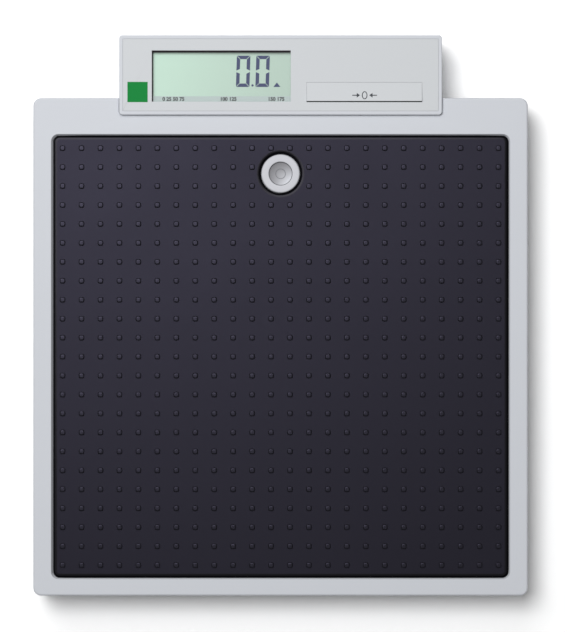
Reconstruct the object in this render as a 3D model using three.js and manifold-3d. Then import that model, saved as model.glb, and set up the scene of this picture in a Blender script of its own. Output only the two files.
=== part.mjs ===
import * as THREE from 'three';
import { mergeVertices } from 'three/addons/utils/BufferGeometryUtils.js';
import Module from 'manifold-3d';

// A flat electronic floor scale with a display head, in millimetres, +Z up. The origin lies on the
// floor under the middle of the whole scale. +Y points to the display head, +X to the user's right.

// Gaps between pieces, and how far a cut runs past the surface that it opens
const restGap = 0.3;
const runningGap = 0.4;
const cutOverrun = 2;

// Number of straight steps in round stretches
const cornerSteps = 3;
const roundSteps = 3;
const chamferSteps = 1;
const drumSides = 24;
const squareSides = 4;
const pinSides = 12;
const cableSides = 8;

// Top frame
const frameWidth = 321;
const frameDepth = 323;
const bodyHeight = 48;
const skirtHeight = 43.5;
const groundClearance = 8;
const frameWall = 3;
const frameCornerRadius = 5;
const frameEdgeRound = 1.4;
const smallestRound = 0.5;
const sideRim = 11.5;
const frontRim = 10.6;
const rearRim = 23.4;
const recessDepth = 3.5;
const recessCornerRadius = 4.8;
const lipChamfer = 1.4;
const lipDepth = 2.9;
const deckThickness = 3;

// Standing mat
const matThickness = 3.1;
const matGroove = 1.3;
const matCornerRadius = 3.3;
const matEdgeRound = 0.9;
const studPitch = 12.3;
const studMargin = 4.7;
const studBase = 3.6;
const studTop = 2.2;
const studHeight = 0.9;
const studRoot = 0.6;
const studClearance = 2.6;

// Spirit level
const levelSetback = 25.7;
const bezelDiameter = 24.9;
const bezelGroove = 1.7;
const bezelRise = 0.3;
const bezelEdge = 0.6;
const vialWindowDiameter = 15.3;
const vialDrop = 1.2;
const cupDepth = 8;
const cupWall = 1.4;
const cupRoom = 1.5;

// Platform plate
const plateThickness = 2;
const plateFlange = 12;
const plateInset = 3;
const plateCornerRadius = 6;

// Load cells
const beamLength = 80;
const beamWidth = 16;
const beamHeight = 14;
const beamEndMargin = 10;
const flexureRadius = 4.5;
const flexureSpread = 16;
const flexureSlot = 4;
const spacerHeight = 8;
const spacerLength = 22;

// Feet
const footInset = 28;
const rearFootInset = 44;
const padDiameter = 36;
const padThickness = 5;
const padChamfer = 0.6;
const socketDepth = 3;
const swivelDiameter = 10;
const collarDiameter = 28;
const collarThickness = 4;
const shoulderDiameter = 14;
const studDiameter = 8;
const studProjection = 5;
const footHoleRoom = 2;

// Base tray
const trayGap = 0.5;
const trayWall = 2.2;
const trayFloor = 2.5;
const trayWallHeight = 8;

// Base screws and the bosses that take them
const bossXShare = 0.78;
const bossYShare = 0.38;
const bossDiameter = 9;
const bossHoleRoom = 1;
const screwPadDiameter = 12;
const screwPadHeight = 3;
const screwHeadDiameter = 7;
const screwHeadHeight = 2.3;
const screwShankDiameter = 3.5;
const screwLength = 19;

// Battery bay and its lid
const cellCount = 6;
const cellDiameter = 14.5;
const cellLength = 50.5;
const cellGap = 0.7;
const cellNubDiameter = 5.5;
const cellNubHeight = 1;
const cellEdge = 0.6;
const contactThickness = 0.6;
const contactReach = 2.4;
const contactHeight = 10;
const contactBumpDiameter = 5;
const bayWall = 2.2;
const lidLedge = 3.5;
const lidThickness = 2.6;
const lidPivotDiameter = 1.6;
const lidPivotReach = 1.6;
const thumbNotchDiameter = 18;
const thumbNotchDepth = 1.4;
const leadSlotWidth = 6;
const leadSlotHeight = 7;
const leadSlotShare = 0.62;

// Display head
const headWidth = 209.4;
const headDepth = 51.5;
const headHeight = 38.8;
const headOverhang = 40.6;
const headRise = 2.6;
const headWall = 2.3;
const headCornerRadius = 1.8;
const headEdgeRound = 0.6;
const coverHeight = 16.6;
const coverTop = 1.2;
const pocketGap = 0.3;
const pocketCornerRadius = 2.7;
const pocketChamfer = 2.4;
const pocketChamferDepth = 0.9;

// Face panel, display window and LCD
const panelBorder = 2.3;
const panelThickness = 0.9;
const windowLeftMargin = 21.2;
const windowFrontMargin = 8.4;
const windowWidth = 90.1;
const windowDepth = 33.2;
const paneThickness = 1.2;
const paneLap = 3;
const lcdThickness = 2.2;
const lcdLap = 2;
const lcdStandoff = 3.6;
const carrierWall = 2;
const contactStripWidth = 2.5;
const contactStripInset = 1.5;

// Circuit board
const boardThickness = 1.6;
const boardRoom = 1.5;
const chipSize = 10;
const chipHeight = 1.4;
const chipXShare = 0.6;
const chipYShare = 0.35;

// Press key and its switch
const windowToKey = 10.7;
const keyRightMargin = 13.3;
const keyFrontMargin = 9;
const keyDepth = 11.5;
const keyLipRise = 1.4;
const keyFrontGap = 0.9;
const keyRibThickness = 2.6;
const keyAxisDrop = 2;
const keyAxisInset = 1.3;
const keyRibBelow = 1.3;
const keyStubDiameter = 1.6;
const keyStubReach = 2;
const lugWidth = 3;
const lugLength = 5;
const nibSetback = 3.7;
const nibDiameter = 4;
const switchSize = 6.2;
const switchHeight = 3.5;
const switchBoreDepth = 1.4;
const plungerDiameter = 3.4;
const plungerTravelRoom = 0.6;
const plungerRise = 1.1;

// Green label
const labelSize = 13.1;
const labelLeftMargin = 5.4;
const labelFrontMargin = 8.1;
const labelThickness = 0.2;

// Screws of the display head
const coverPostInset = 9.7;
const coverPostSetback = 9;
const coverPostDiameter = 7;
const basePostDiameter = 10;
const coverScrewHead = 2.4;
const coverScrewHeadDiameter = 6;
const coverScrewShank = 3;
const coverScrewSink = 3.4;
const coverScrewTipRoom = 1.5;
const headScrewXShare = 0.76;
const headScrewRise = 8;
const headScrewLength = 12;
const headBossDiameter = 10;
const headBossLength = 9;

// Opening that the leads take from the body into the head
const leadHoleWidth = 21;
const leadHoleHeight = 6;
const leadHoleRise = 8.4;
const leadDiameter = 2.8;
const leadPitch = 3.6;
const leadFloorGap = 0.7;
const leadStepDiameters = 3;

// Levels from the floor up
const trayBottomZ = groundClearance;
const rimZ = trayBottomZ + bodyHeight;
const skirtBottomZ = rimZ - skirtHeight;
const deckZ = rimZ - recessDepth;
const deckUnderZ = deckZ - deckThickness;
const matBottomZ = deckZ + restGap;
const matTopZ = matBottomZ + matThickness;
const plateTopZ = deckUnderZ - restGap;
const plateUnderZ = plateTopZ - plateThickness;
const spacerTopZ = plateUnderZ - restGap;
const beamTopZ = spacerTopZ - spacerHeight - restGap;
const beamBottomZ = beamTopZ - beamHeight;
const lidTopZ = trayBottomZ + lidThickness;
const cellAxisZ = lidTopZ + restGap + cellDiameter / 2;
const bayRoofZ = cellAxisZ + cellDiameter / 2 + restGap;
const faceZ = rimZ + headRise;
const headBottomZ = faceZ - headHeight;
const pocketFloorZ = headBottomZ - pocketGap;
const coverBottomZ = faceZ - coverHeight;
const headBaseTopZ = coverBottomZ - restGap;
const panelFloorZ = faceZ - panelThickness - restGap;
const coverUnderZ = panelFloorZ - coverTop;
const paneTopZ = coverUnderZ - restGap;
const lcdTopZ = paneTopZ - paneThickness - restGap;
const lcdUnderZ = lcdTopZ - lcdThickness;
const boardTopZ = lcdUnderZ - lcdStandoff;
const boardUnderZ = boardTopZ - boardThickness;

// Places in plan. The body's pieces are measured from the middle of the frame, the head's pieces
// from the middle of the head.
const halfWidth = frameWidth / 2;
const halfDepth = frameDepth / 2;
const overallDepth = frameDepth + headOverhang;
const bodyY = halfDepth - overallDepth / 2;
const headY = overallDepth / 2 - headDepth / 2;
const headHalfWidth = headWidth / 2;
const headHalfDepth = headDepth / 2;
const pocketFrontY = headY - headHalfDepth - pocketGap - bodyY;
const pocketHalfWidth = headHalfWidth + pocketGap;
const recess = {
  left: sideRim - halfWidth,
  front: frontRim - halfDepth,
  right: halfWidth - sideRim,
  rear: halfDepth - rearRim,
};
const levelY = recess.rear - levelSetback;
const cupRadius = vialWindowDiameter / 2 + cupWall;
const bayHalfLength = cellLength / 2 + contactReach + contactThickness + 2 * restGap;
const cellPitch = cellDiameter + cellGap;
const bayHalfDepth = (cellCount * cellPitch + cellGap) / 2;
const recessHalfLength = bayHalfLength + lidLedge;
const recessHalfDepth = bayHalfDepth + lidLedge;
const bossX = bossXShare * halfWidth;
const bossY = bossYShare * halfDepth;
const screwPadTopZ = trayBottomZ + trayFloor + screwPadHeight;
const screwSeatZ = screwPadTopZ - trayFloor;
const frontFootY = footInset - halfDepth;
const rearFootY = halfDepth - rearFootInset;
const corners = [
  { name: 'front_left', side: -1, y: frontFootY },
  { name: 'front_right', side: 1, y: frontFootY },
  { name: 'rear_left', side: -1, y: rearFootY },
  { name: 'rear_right', side: 1, y: rearFootY },
];
const footX = halfWidth - footInset;
const keyRight = headHalfWidth - keyRightMargin;
const keyLeft = windowLeftMargin + windowWidth + windowToKey - headHalfWidth;
const keyFront = keyFrontMargin - headHalfDepth;
const keyRear = keyFront + keyDepth;
const keyAxisY = keyRear - keyAxisInset;
const keyAxisZ = coverUnderZ - keyAxisDrop;
const nibX = (keyLeft + keyRight) / 2;
const nibY = keyFront + nibSetback;
const plungerTopZ = boardTopZ + restGap + switchHeight + plungerRise;
const coverPostX = headHalfWidth - coverPostInset;
const headScrewX = headScrewXShare * headHalfWidth;
const headScrewZ = headBottomZ + headScrewRise;
const boardHalfX = headHalfWidth - headWall - boardRoom;
const boardHalfY = headHalfDepth - headWall - boardRoom;
const leadHoleZ = headBottomZ + leadHoleRise;
const leadHoleX = -recessHalfLength - trayFloor - leadHoleWidth / 2;
const reach = overallDepth + frameWidth;

// Colours and finishes
const shellGrey = { color: 0xcfd2d8, roughness: 0.5, metalness: 0 };
const panelGrey = { color: 0xd2d5d8, roughness: 0.4, metalness: 0 };
const trayGrey = { color: 0x8f9297, roughness: 0.6, metalness: 0 };
const matRubber = { color: 0x34323d, roughness: 0.8, metalness: 0 };
const footRubber = { color: 0x26262a, roughness: 0.85, metalness: 0 };
const levelWhite = { color: 0xe4e4e8, roughness: 0.45, metalness: 0 };
const levelFluid = { color: 0xa9adb0, roughness: 0.15, metalness: 0 };
const clearPane = { color: 0xe6ece9, roughness: 0.1, metalness: 0 };
const lcdGreen = { color: 0xc2dbcc, roughness: 0.3, metalness: 0 };
const carrierWhite = { color: 0xe0e0dc, roughness: 0.5, metalness: 0 };
const stripBlack = { color: 0x2a2a2a, roughness: 0.8, metalness: 0 };
const boardGreen = { color: 0x1f5a38, roughness: 0.5, metalness: 0 };
const chipBlack = { color: 0x1c1c1e, roughness: 0.5, metalness: 0 };
const labelGreen = { color: 0x209144, roughness: 0.4, metalness: 0 };
const steel = { color: 0xb4b6b8, roughness: 0.35, metalness: 1 };
const aluminium = { color: 0xc8cacc, roughness: 0.4, metalness: 1 };
const cellSleeve = { color: 0x3c4048, roughness: 0.35, metalness: 0 };
const leadGrey = { color: 0x9a9a9a, roughness: 0.6, metalness: 0 };

const wasm = await Module();
wasm.setup();

// Makes a solid that can be joined and cut from a closed geometry. Points that coincide are
// merged, and triangles that this leaves without an area are dropped.
function solidOf(geometry) {
  const bare = geometry.clone();
  bare.deleteAttribute('normal');
  bare.deleteAttribute('uv');
  const merged = mergeVertices(bare);
  const index = merged.index.array;
  const kept = [];
  for (let i = 0; i < index.length; i += 3) {
    const [a, b, c] = index.slice(i, i + 3);
    if (a !== b && b !== c && c !== a) kept.push(a, b, c);
  }
  return new wasm.Manifold(new wasm.Mesh({
    numProp: 3,
    vertProperties: merged.attributes.position.array,
    triVerts: new Uint32Array(kept),
  }));
}

// Gives a solid's surface as a geometry.
function geometryOf(solid) {
  const mesh = solid.getMesh();
  const geometry = new THREE.BufferGeometry();
  geometry.setAttribute('position', new THREE.BufferAttribute(mesh.vertProperties, mesh.numProp));
  geometry.setIndex(new THREE.BufferAttribute(mesh.triVerts, 1));
  geometry.computeVertexNormals();
  return geometry;
}

function piece(name, solid, finish, x = 0, y = 0, z = 0) {
  const mesh = new THREE.Mesh(geometryOf(solid), new THREE.MeshStandardMaterial(finish));
  mesh.name = name;
  mesh.position.set(x, y, z);
  return mesh;
}

// A rectangle with round corners.
function roundedRect(left, front, right, rear, radius) {
  const quarter = Math.PI / 2;
  const shape = new THREE.Shape();
  shape.absarc(right - radius, front + radius, radius, -quarter, 0);
  shape.absarc(right - radius, rear - radius, radius, 0, quarter);
  shape.absarc(left + radius, rear - radius, radius, quarter, 2 * quarter);
  shape.absarc(left + radius, front + radius, radius, 2 * quarter, 3 * quarter);
  return shape;
}

// The same outline drawn in by an inset, or let out by a negative one. Its corners keep a little
// roundness.
function insetRect(halfX, halfY, inset, radius) {
  const corner = Math.max(radius - inset, smallestRound);
  return roundedRect(inset - halfX, inset - halfY, halfX - inset, halfY - inset, corner);
}

function recessOutline(inset, radius) {
  const { left, front, right, rear } = recess;
  return roundedRect(left + inset, front + inset, right - inset, rear - inset, radius);
}

function prism(shape, bottom, top) {
  const settings = { depth: top - bottom, bevelEnabled: false, curveSegments: cornerSteps };
  return solidOf(new THREE.ExtrudeGeometry(shape, settings).translate(0, 0, bottom));
}

// A prism whose lower and upper edges are rounded inwards, or chamfered with one step. The edge
// takes as much height as width unless its height is given.
function softPrism(shape, bottom, top, round, steps, edgeHeight = round) {
  const settings = {
    depth: top - bottom - 2 * edgeHeight,
    bevelThickness: edgeHeight,
    bevelSize: round,
    bevelOffset: -round,
    bevelSegments: steps,
    curveSegments: cornerSteps,
  };
  return solidOf(new THREE.ExtrudeGeometry(shape, settings).translate(0, 0, bottom + edgeHeight));
}

function box(left, front, bottom, right, rear, top) {
  const geometry = new THREE.BoxGeometry(right - left, rear - front, top - bottom);
  return solidOf(geometry.translate((left + right) / 2, (front + rear) / 2, (bottom + top) / 2));
}

// A prism whose upper edge alone is rounded.
function roundTopPrism(shape, bottom, top, round) {
  const tall = softPrism(shape, bottom - round - cutOverrun, top, round, roundSteps);
  return tall.subtract(box(-reach, -reach, bottom - reach, reach, reach, bottom));
}

// A cutter for the sloping edge round an opening. It has the full outline at the top level and
// is drawn in by the chamfer's size at its depth.
function chamferCutter(outline, top, size, depth) {
  return softPrism(outline, top - depth, top + depth + cutOverrun, size, chamferSteps, depth);
}

// Cylinders that stand up, run along X and run along Y.
function drum(x, y, bottom, top, radius, sides = drumSides) {
  const geometry = new THREE.CylinderGeometry(radius, radius, top - bottom, sides);
  return solidOf(geometry.rotateX(Math.PI / 2).translate(x, y, (bottom + top) / 2));
}

function rodAlongX(left, right, y, z, radius) {
  const geometry = new THREE.CylinderGeometry(radius, radius, right - left, pinSides);
  return solidOf(geometry.rotateZ(Math.PI / 2).translate((left + right) / 2, y, z));
}

function rodAlongY(x, front, rear, z, radius) {
  const geometry = new THREE.CylinderGeometry(radius, radius, rear - front, pinSides);
  return solidOf(geometry.translate(x, (front + rear) / 2, z));
}

// A body of revolution about Z from its profile of [radius, height] points, bottom to top.
function turned(profile, sides = drumSides) {
  const points = profile.map(([radius, height]) => new THREE.Vector2(radius, height));
  return solidOf(new THREE.LatheGeometry(points, sides).rotateX(Math.PI / 2));
}

function joined(solids) {
  return wasm.Manifold.union(solids);
}

function mirroredPair(make) {
  return joined([make(-1), make(1)]);
}

// A screw along +Z: its head's underside is at the origin and its shank goes up.
function screwSolid(headRadius, headHeight, shankRadius, length) {
  return turned([
    [0, -headHeight],
    [headRadius, -headHeight],
    [headRadius, 0],
    [shankRadius, 0],
    [shankRadius, length - shankRadius],
    [0, length],
  ], pinSides);
}

function atBosses(make) {
  return joined([-1, 1].flatMap((x) => [-1, 1].map((y) => make(x * bossX, y * bossY))));
}

// Top frame: a shell with a sunk deck for the mat, a pocket for the head and four screw bosses
function makeTopFrame() {
  const outside = roundTopPrism(
    insetRect(halfWidth, halfDepth, 0, frameCornerRadius), skirtBottomZ, rimZ, frameEdgeRound);
  const pocketLeft = -pocketHalfWidth - frameWall;
  const pocketBlock = box(
    pocketLeft, pocketFrontY - frameWall, pocketFloorZ - frameWall, -pocketLeft, reach, reach);
  const deckBlock = prism(recessOutline(-frameWall, recessCornerRadius), deckUnderZ, reach);
  const inside = prism(
    insetRect(halfWidth, halfDepth, frameWall, frameCornerRadius),
    skirtBottomZ - cutOverrun, rimZ - frameWall);
  const cavity = inside.subtract(pocketBlock).subtract(deckBlock);
  const recessCorner = Math.max(recessCornerRadius - lipChamfer, smallestRound);
  const matRecess = prism(recessOutline(lipChamfer, recessCorner), deckZ, rimZ + cutOverrun);
  const matLip = chamferCutter(recessOutline(0, recessCornerRadius), rimZ, lipChamfer, lipDepth);
  const pocketRear = halfDepth + pocketCornerRadius + cutOverrun;
  const pocket = prism(
    roundedRect(-pocketHalfWidth, pocketFrontY, pocketHalfWidth, pocketRear, pocketCornerRadius),
    pocketFloorZ, rimZ + cutOverrun);
  const flare = pocketHalfWidth + pocketChamfer;
  const pocketLip = chamferCutter(
    roundedRect(-flare, pocketFrontY - pocketChamfer, flare, pocketRear + pocketChamfer,
      pocketCornerRadius + pocketChamfer),
    rimZ, pocketChamfer, pocketChamferDepth);
  const levelHole = drum(0, levelY, deckUnderZ - cutOverrun, rimZ, cupRadius + restGap);
  const screwHoles = mirroredPair((side) => rodAlongY(
    side * headScrewX, pocketFrontY - frameWall - cutOverrun, pocketFrontY + cutOverrun,
    headScrewZ, coverScrewShank / 2 + runningGap));
  const bosses = atBosses((x, y) => drum(
    x, y, screwPadTopZ + restGap, deckUnderZ + deckThickness / 2, bossDiameter / 2, pinSides));
  const bossHoles = atBosses((x, y) => drum(
    x, y, screwPadTopZ - cutOverrun, screwSeatZ + screwLength + restGap,
    screwShankDiameter / 2 + restGap, pinSides));
  return outside.subtract(joined([
    cavity, matRecess, matLip, pocket, pocketLip, levelHole, screwHoles,
    leadHole(pocketFrontY - frameWall - cutOverrun, pocketFrontY + cutOverrun),
  ])).add(bosses).subtract(bossHoles);
}

// The oblong hole for the leads through a wall between two places along Y
function leadHole(front, rear) {
  return box(
    leadHoleX - leadHoleWidth / 2, front, leadHoleZ - leadHoleHeight / 2,
    leadHoleX + leadHoleWidth / 2, rear, leadHoleZ + leadHoleHeight / 2);
}

// One stud of the mat, a square pyramid with its top cut off, on a root sunk in the sheet
function studGeometry(x, y) {
  const slope = (studBase - studTop) / studHeight;
  const root = studBase + slope * studRoot;
  const corner = Math.SQRT1_2;
  const geometry = new THREE.CylinderGeometry(
    studTop * corner, root * corner, studHeight + studRoot, squareSides);
  geometry.rotateY(Math.PI / squareSides).rotateX(Math.PI / 2);
  return geometry.translate(x, y, matTopZ + (studHeight - studRoot) / 2);
}

// Places along one side of the mat, about its middle, as many as fit at the pitch
function studPlaces(low, high) {
  const room = high - low - 2 * studMargin;
  const count = Math.floor(room / studPitch) + 1;
  return Array.from({ length: count }, (_, i) => (low + high + (2 * i - count + 1) * studPitch) / 2);
}

// Standing mat: a rubber sheet with a round edge, a hole for the level, and studs everywhere but
// round that hole
function makeStandingMat() {
  const inset = lipChamfer + matGroove;
  const holeRadius = bezelDiameter / 2 + bezelGroove;
  const sheet = roundTopPrism(
    recessOutline(inset, matCornerRadius), matBottomZ, matTopZ, matEdgeRound,
  ).subtract(drum(0, levelY, deckZ - cutOverrun, rimZ + cutOverrun, holeRadius));
  const columns = studPlaces(recess.left + inset, recess.right - inset);
  const rows = studPlaces(recess.front + inset, recess.rear - inset);
  const studs = rows.flatMap((y) => columns
    .filter((x) => Math.hypot(x, y - levelY) > holeRadius + studClearance)
    .map((x) => solidOf(studGeometry(x, y))));
  return joined([sheet, ...studs]);
}

// Platform plate: pressed steel with a flange turned down all round
function makePlatformPlate() {
  const plate = prism(
    recessOutline(plateInset, plateCornerRadius), plateTopZ - plateFlange, plateTopZ);
  const hollow = prism(
    recessOutline(plateInset + plateThickness, plateCornerRadius - plateThickness),
    plateTopZ - plateFlange - cutOverrun, plateUnderZ);
  const cupHole = drum(0, levelY, plateUnderZ - cutOverrun, deckZ, cupRadius + cupRoom);
  const bossHoles = atBosses((x, y) => drum(
    x, y, plateUnderZ - cutOverrun, deckZ, bossDiameter / 2 + bossHoleRoom, pinSides));
  return plate.subtract(hollow).subtract(cupHole).subtract(bossHoles);
}

// Base tray: a shallow tray with the battery bay, four foot holes and four screw pads
function makeBaseTray() {
  const shellInset = frameWall + trayGap;
  const trayTopZ = trayBottomZ + trayWallHeight;
  const floorTopZ = trayBottomZ + trayFloor;
  const outside = prism(
    insetRect(halfWidth, halfDepth, shellInset, frameCornerRadius), trayBottomZ, trayTopZ);
  const inside = prism(
    insetRect(halfWidth, halfDepth, shellInset + trayWall, frameCornerRadius),
    floorTopZ, trayTopZ + cutOverrun);
  const blockX = recessHalfLength + trayFloor;
  const blockY = recessHalfDepth + trayFloor;
  const bayBlock = box(-blockX, -blockY, trayBottomZ, blockX, blockY, bayRoofZ + bayWall);
  const bay = box(
    -bayHalfLength, -bayHalfDepth, trayBottomZ - cutOverrun, bayHalfLength, bayHalfDepth, bayRoofZ);
  const lidRecess = box(
    -recessHalfLength, -recessHalfDepth, trayBottomZ - cutOverrun,
    recessHalfLength, recessHalfDepth, lidTopZ + restGap);
  const pivotHole = rodAlongX(
    -recessHalfLength - lidPivotReach, recessHalfLength + lidPivotReach,
    lidAxisY, lidAxisZ, lidPivotDiameter / 2 + restGap);
  const thumbNotch = drum(
    0, -recessHalfDepth, trayBottomZ - cutOverrun, trayBottomZ + thumbNotchDepth,
    thumbNotchDiameter / 2);
  const slotY = leadSlotShare * bayHalfDepth;
  const leadSlot = box(
    -blockX - cutOverrun, slotY - leadSlotWidth / 2, floorTopZ + restGap,
    -bayHalfLength + cutOverrun, slotY + leadSlotWidth / 2, floorTopZ + leadSlotHeight);
  const footHoles = joined(corners.map(({ side, y }) => drum(
    side * footX, y, trayBottomZ - cutOverrun, floorTopZ + cutOverrun,
    collarDiameter / 2 + footHoleRoom)));
  const pads = atBosses((x, y) => drum(
    x, y, trayBottomZ + trayFloor / 2, screwPadTopZ, screwPadDiameter / 2, pinSides));
  const counterbores = atBosses((x, y) => drum(
    x, y, trayBottomZ - cutOverrun, screwSeatZ, screwHeadDiameter / 2 + runningGap, pinSides));
  const shankHoles = atBosses((x, y) => drum(
    x, y, trayBottomZ, screwPadTopZ + cutOverrun, screwShankDiameter / 2 + runningGap, pinSides));
  return outside.subtract(inside).add(bayBlock).add(pads).subtract(joined([
    bay, lidRecess, pivotHole, thumbNotch, leadSlot, footHoles, counterbores, shankHoles,
  ]));
}

// Battery lid: a flat plate with a round rear edge that turns on two stubs
const lidHalfLength = recessHalfLength - runningGap;
const lidHalfDepth = recessHalfDepth - runningGap;
const lidAxisY = lidHalfDepth - lidThickness / 2;
const lidAxisZ = trayBottomZ + lidThickness / 2;

function makeBatteryLid() {
  const plate = box(-lidHalfLength, -lidHalfDepth, trayBottomZ, lidHalfLength, lidAxisY, lidTopZ);
  const barrel = rodAlongX(-lidHalfLength, lidHalfLength, lidAxisY, lidAxisZ, lidThickness / 2);
  const stubEnd = recessHalfLength + lidPivotReach - runningGap;
  const stubs = rodAlongX(-stubEnd, stubEnd, lidAxisY, lidAxisZ, lidPivotDiameter / 2);
  return joined([plate, barrel, stubs]);
}

// One cell, lying along X with its nub at the +X end, about its middle
function makeCell() {
  const radius = cellDiameter / 2;
  const canEnd = cellLength - cellNubHeight;
  const upright = turned([
    [0, 0],
    [radius - cellEdge, 0],
    [radius, cellEdge],
    [radius, canEnd - cellEdge],
    [radius - cellEdge, canEnd],
    [cellNubDiameter / 2, canEnd],
    [cellNubDiameter / 2, cellLength],
    [0, cellLength],
  ], pinSides);
  return solidOf(geometryOf(upright).translate(0, 0, -cellLength / 2).rotateY(Math.PI / 2));
}

// The contact strip at one end of the bay, with a bump for each cell
function makeContacts(side) {
  const plateOuter = bayHalfLength - restGap;
  const plateInner = plateOuter - contactThickness;
  const tip = cellLength / 2 + restGap;
  const halfRun = bayHalfDepth - cellGap;
  const low = cellAxisZ - contactHeight / 2;
  const high = cellAxisZ + contactHeight / 2;
  const plate = box(plateInner, -halfRun, low, plateOuter, halfRun, high);
  const bumps = cellPlaces.map((y) => rodAlongX(
    tip, plateInner + contactThickness / 2, y, cellAxisZ, contactBumpDiameter / 2));
  const turn = side < 0 ? Math.PI : 0;
  return solidOf(geometryOf(joined([plate, ...bumps])).rotateZ(turn));
}

const cellPlaces = Array.from({ length: cellCount }, (_, i) => (i - (cellCount - 1) / 2) * cellPitch);

// Load cell: an aluminium bending beam from the foot's axis towards the middle of the scale. Two
// round cuts and the slot between them leave thin walls that bend under load.
function makeBeam() {
  const flexureX = beamLength / 2 - beamEndMargin;
  const halfSpread = flexureSpread / 2;
  const middle = beamHeight / 2;
  const side = beamWidth / 2 + cutOverrun;
  const beam = box(
    -beamEndMargin, -beamWidth / 2, 0, beamLength - beamEndMargin, beamWidth / 2, beamHeight);
  const threadHole = drum(
    0, 0, -cutOverrun, beamHeight + cutOverrun, studDiameter / 2 + restGap, pinSides);
  const cuts = joined([
    rodAlongY(flexureX - halfSpread, -side, side, middle, flexureRadius),
    rodAlongY(flexureX + halfSpread, -side, side, middle, flexureRadius),
    box(flexureX - halfSpread, -side, middle - flexureSlot / 2,
      flexureX + halfSpread, side, middle + flexureSlot / 2),
  ]);
  return beam.subtract(threadHole).subtract(cuts);
}

function makeSpacer() {
  const end = beamLength - beamEndMargin;
  return box(end - spacerLength, -beamWidth / 2, 0, end, beamWidth / 2, spacerHeight);
}

// Foot pad: a rubber disc with a socket for the stud's swivel
function makeFootPad() {
  const radius = padDiameter / 2;
  const socketRadius = swivelDiameter / 2 + runningGap;
  return turned([
    [0, 0],
    [radius - padChamfer, 0],
    [radius, padChamfer],
    [radius, padThickness],
    [socketRadius, padThickness],
    [socketRadius, padThickness - socketDepth],
    [0, padThickness - socketDepth],
  ]);
}

// Foot stud: swivel, collar that the fingers turn, shoulder that stops on the beam, and thread
function makeFootStud() {
  const collarBottom = padThickness + restGap;
  const collarTop = collarBottom + collarThickness;
  const shoulderTop = beamBottomZ - restGap;
  return turned([
    [0, padThickness - socketDepth + restGap],
    [swivelDiameter / 2, padThickness - socketDepth + restGap],
    [swivelDiameter / 2, collarBottom],
    [collarDiameter / 2, collarBottom],
    [collarDiameter / 2, collarTop],
    [shoulderDiameter / 2, collarTop],
    [shoulderDiameter / 2, shoulderTop],
    [studDiameter / 2, shoulderTop],
    [studDiameter / 2, beamTopZ + studProjection],
    [0, beamTopZ + studProjection],
  ]);
}

// Level bezel: a white ring that stands on the deck
function makeLevelBezel() {
  const outer = bezelDiameter / 2;
  const inner = vialWindowDiameter / 2;
  const top = matTopZ + bezelRise;
  return turned([
    [inner, matBottomZ],
    [outer, matBottomZ],
    [outer, top - bezelEdge],
    [outer - bezelEdge, top],
    [inner + bezelEdge, top],
    [inner, top - bezelEdge],
    [inner, matBottomZ],
  ]);
}

const cupBottomZ = deckZ - cupDepth;

function makeLevelVial() {
  const bottom = cupBottomZ + cupWall + restGap;
  return drum(0, 0, bottom, matTopZ + bezelRise - vialDrop, vialWindowDiameter / 2 - restGap);
}

function makeLevelCup() {
  return turned([
    [0, cupBottomZ],
    [cupRadius, cupBottomZ],
    [cupRadius, deckZ],
    [vialWindowDiameter / 2, deckZ],
    [vialWindowDiameter / 2, cupBottomZ + cupWall],
    [0, cupBottomZ + cupWall],
  ]);
}

// The window, let out by a lap on every side
function windowBlock(bottom, top, lap) {
  const left = windowLeftMargin - headHalfWidth;
  const front = windowFrontMargin - headHalfDepth;
  return box(
    left - lap, front - lap, bottom, left + windowWidth + lap, front + windowDepth + lap, top);
}

function keyOpening(bottom, top) {
  return box(
    keyLeft - runningGap, keyFront - keyFrontGap, bottom,
    keyRight + runningGap, keyRear + runningGap, top);
}

// Head cover: the upper shell, with a shallow bed for the face panel
function makeHeadCover() {
  const outside = roundTopPrism(
    insetRect(headHalfWidth, headHalfDepth, 0, headCornerRadius), coverBottomZ, faceZ, headEdgeRound);
  const cavity = prism(
    insetRect(headHalfWidth, headHalfDepth, headWall, headCornerRadius),
    coverBottomZ - cutOverrun, coverUnderZ);
  const panelBed = prism(
    insetRect(headHalfWidth, headHalfDepth, panelBorder, headCornerRadius),
    panelFloorZ, faceZ + cutOverrun);
  const wallMiddleZ = coverUnderZ + coverTop / 2;
  const posts = mirroredPair((side) => drum(
    side * coverPostX, coverPostSetback, boardTopZ + restGap, wallMiddleZ,
    coverPostDiameter / 2, pinSides));
  const postHoles = mirroredPair((side) => drum(
    side * coverPostX, coverPostSetback, boardTopZ - cutOverrun, coverUnderZ - coverScrewTipRoom,
    coverScrewShank / 2 + runningGap, pinSides));
  const lug = (left) => box(
    left, keyAxisY - lugLength / 2, keyAxisZ - lugLength / 2, left + lugWidth,
    keyAxisY + lugLength / 2, wallMiddleZ);
  const lugs = joined([lug(keyLeft - runningGap - lugWidth), lug(keyRight + runningGap)]);
  const lugBore = rodAlongX(
    keyLeft - runningGap - lugWidth - cutOverrun, keyRight + runningGap + lugWidth + cutOverrun,
    keyAxisY, keyAxisZ, keyStubDiameter / 2 + restGap);
  return outside.subtract(cavity).subtract(panelBed)
    .subtract(windowBlock(coverUnderZ - cutOverrun, faceZ, 0))
    .add(posts).add(lugs)
    .subtract(keyOpening(keyAxisZ - lugLength, faceZ))
    .subtract(postHoles).subtract(lugBore);
}

// Face panel: a thin sheet let into the cover, open over the window and round the key
function makeFacePanel() {
  const sheet = prism(
    insetRect(headHalfWidth, headHalfDepth, panelBorder + restGap, headCornerRadius),
    faceZ - panelThickness, faceZ);
  return sheet
    .subtract(windowBlock(panelFloorZ, faceZ + cutOverrun, 0))
    .subtract(keyOpening(panelFloorZ, faceZ + cutOverrun));
}

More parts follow.
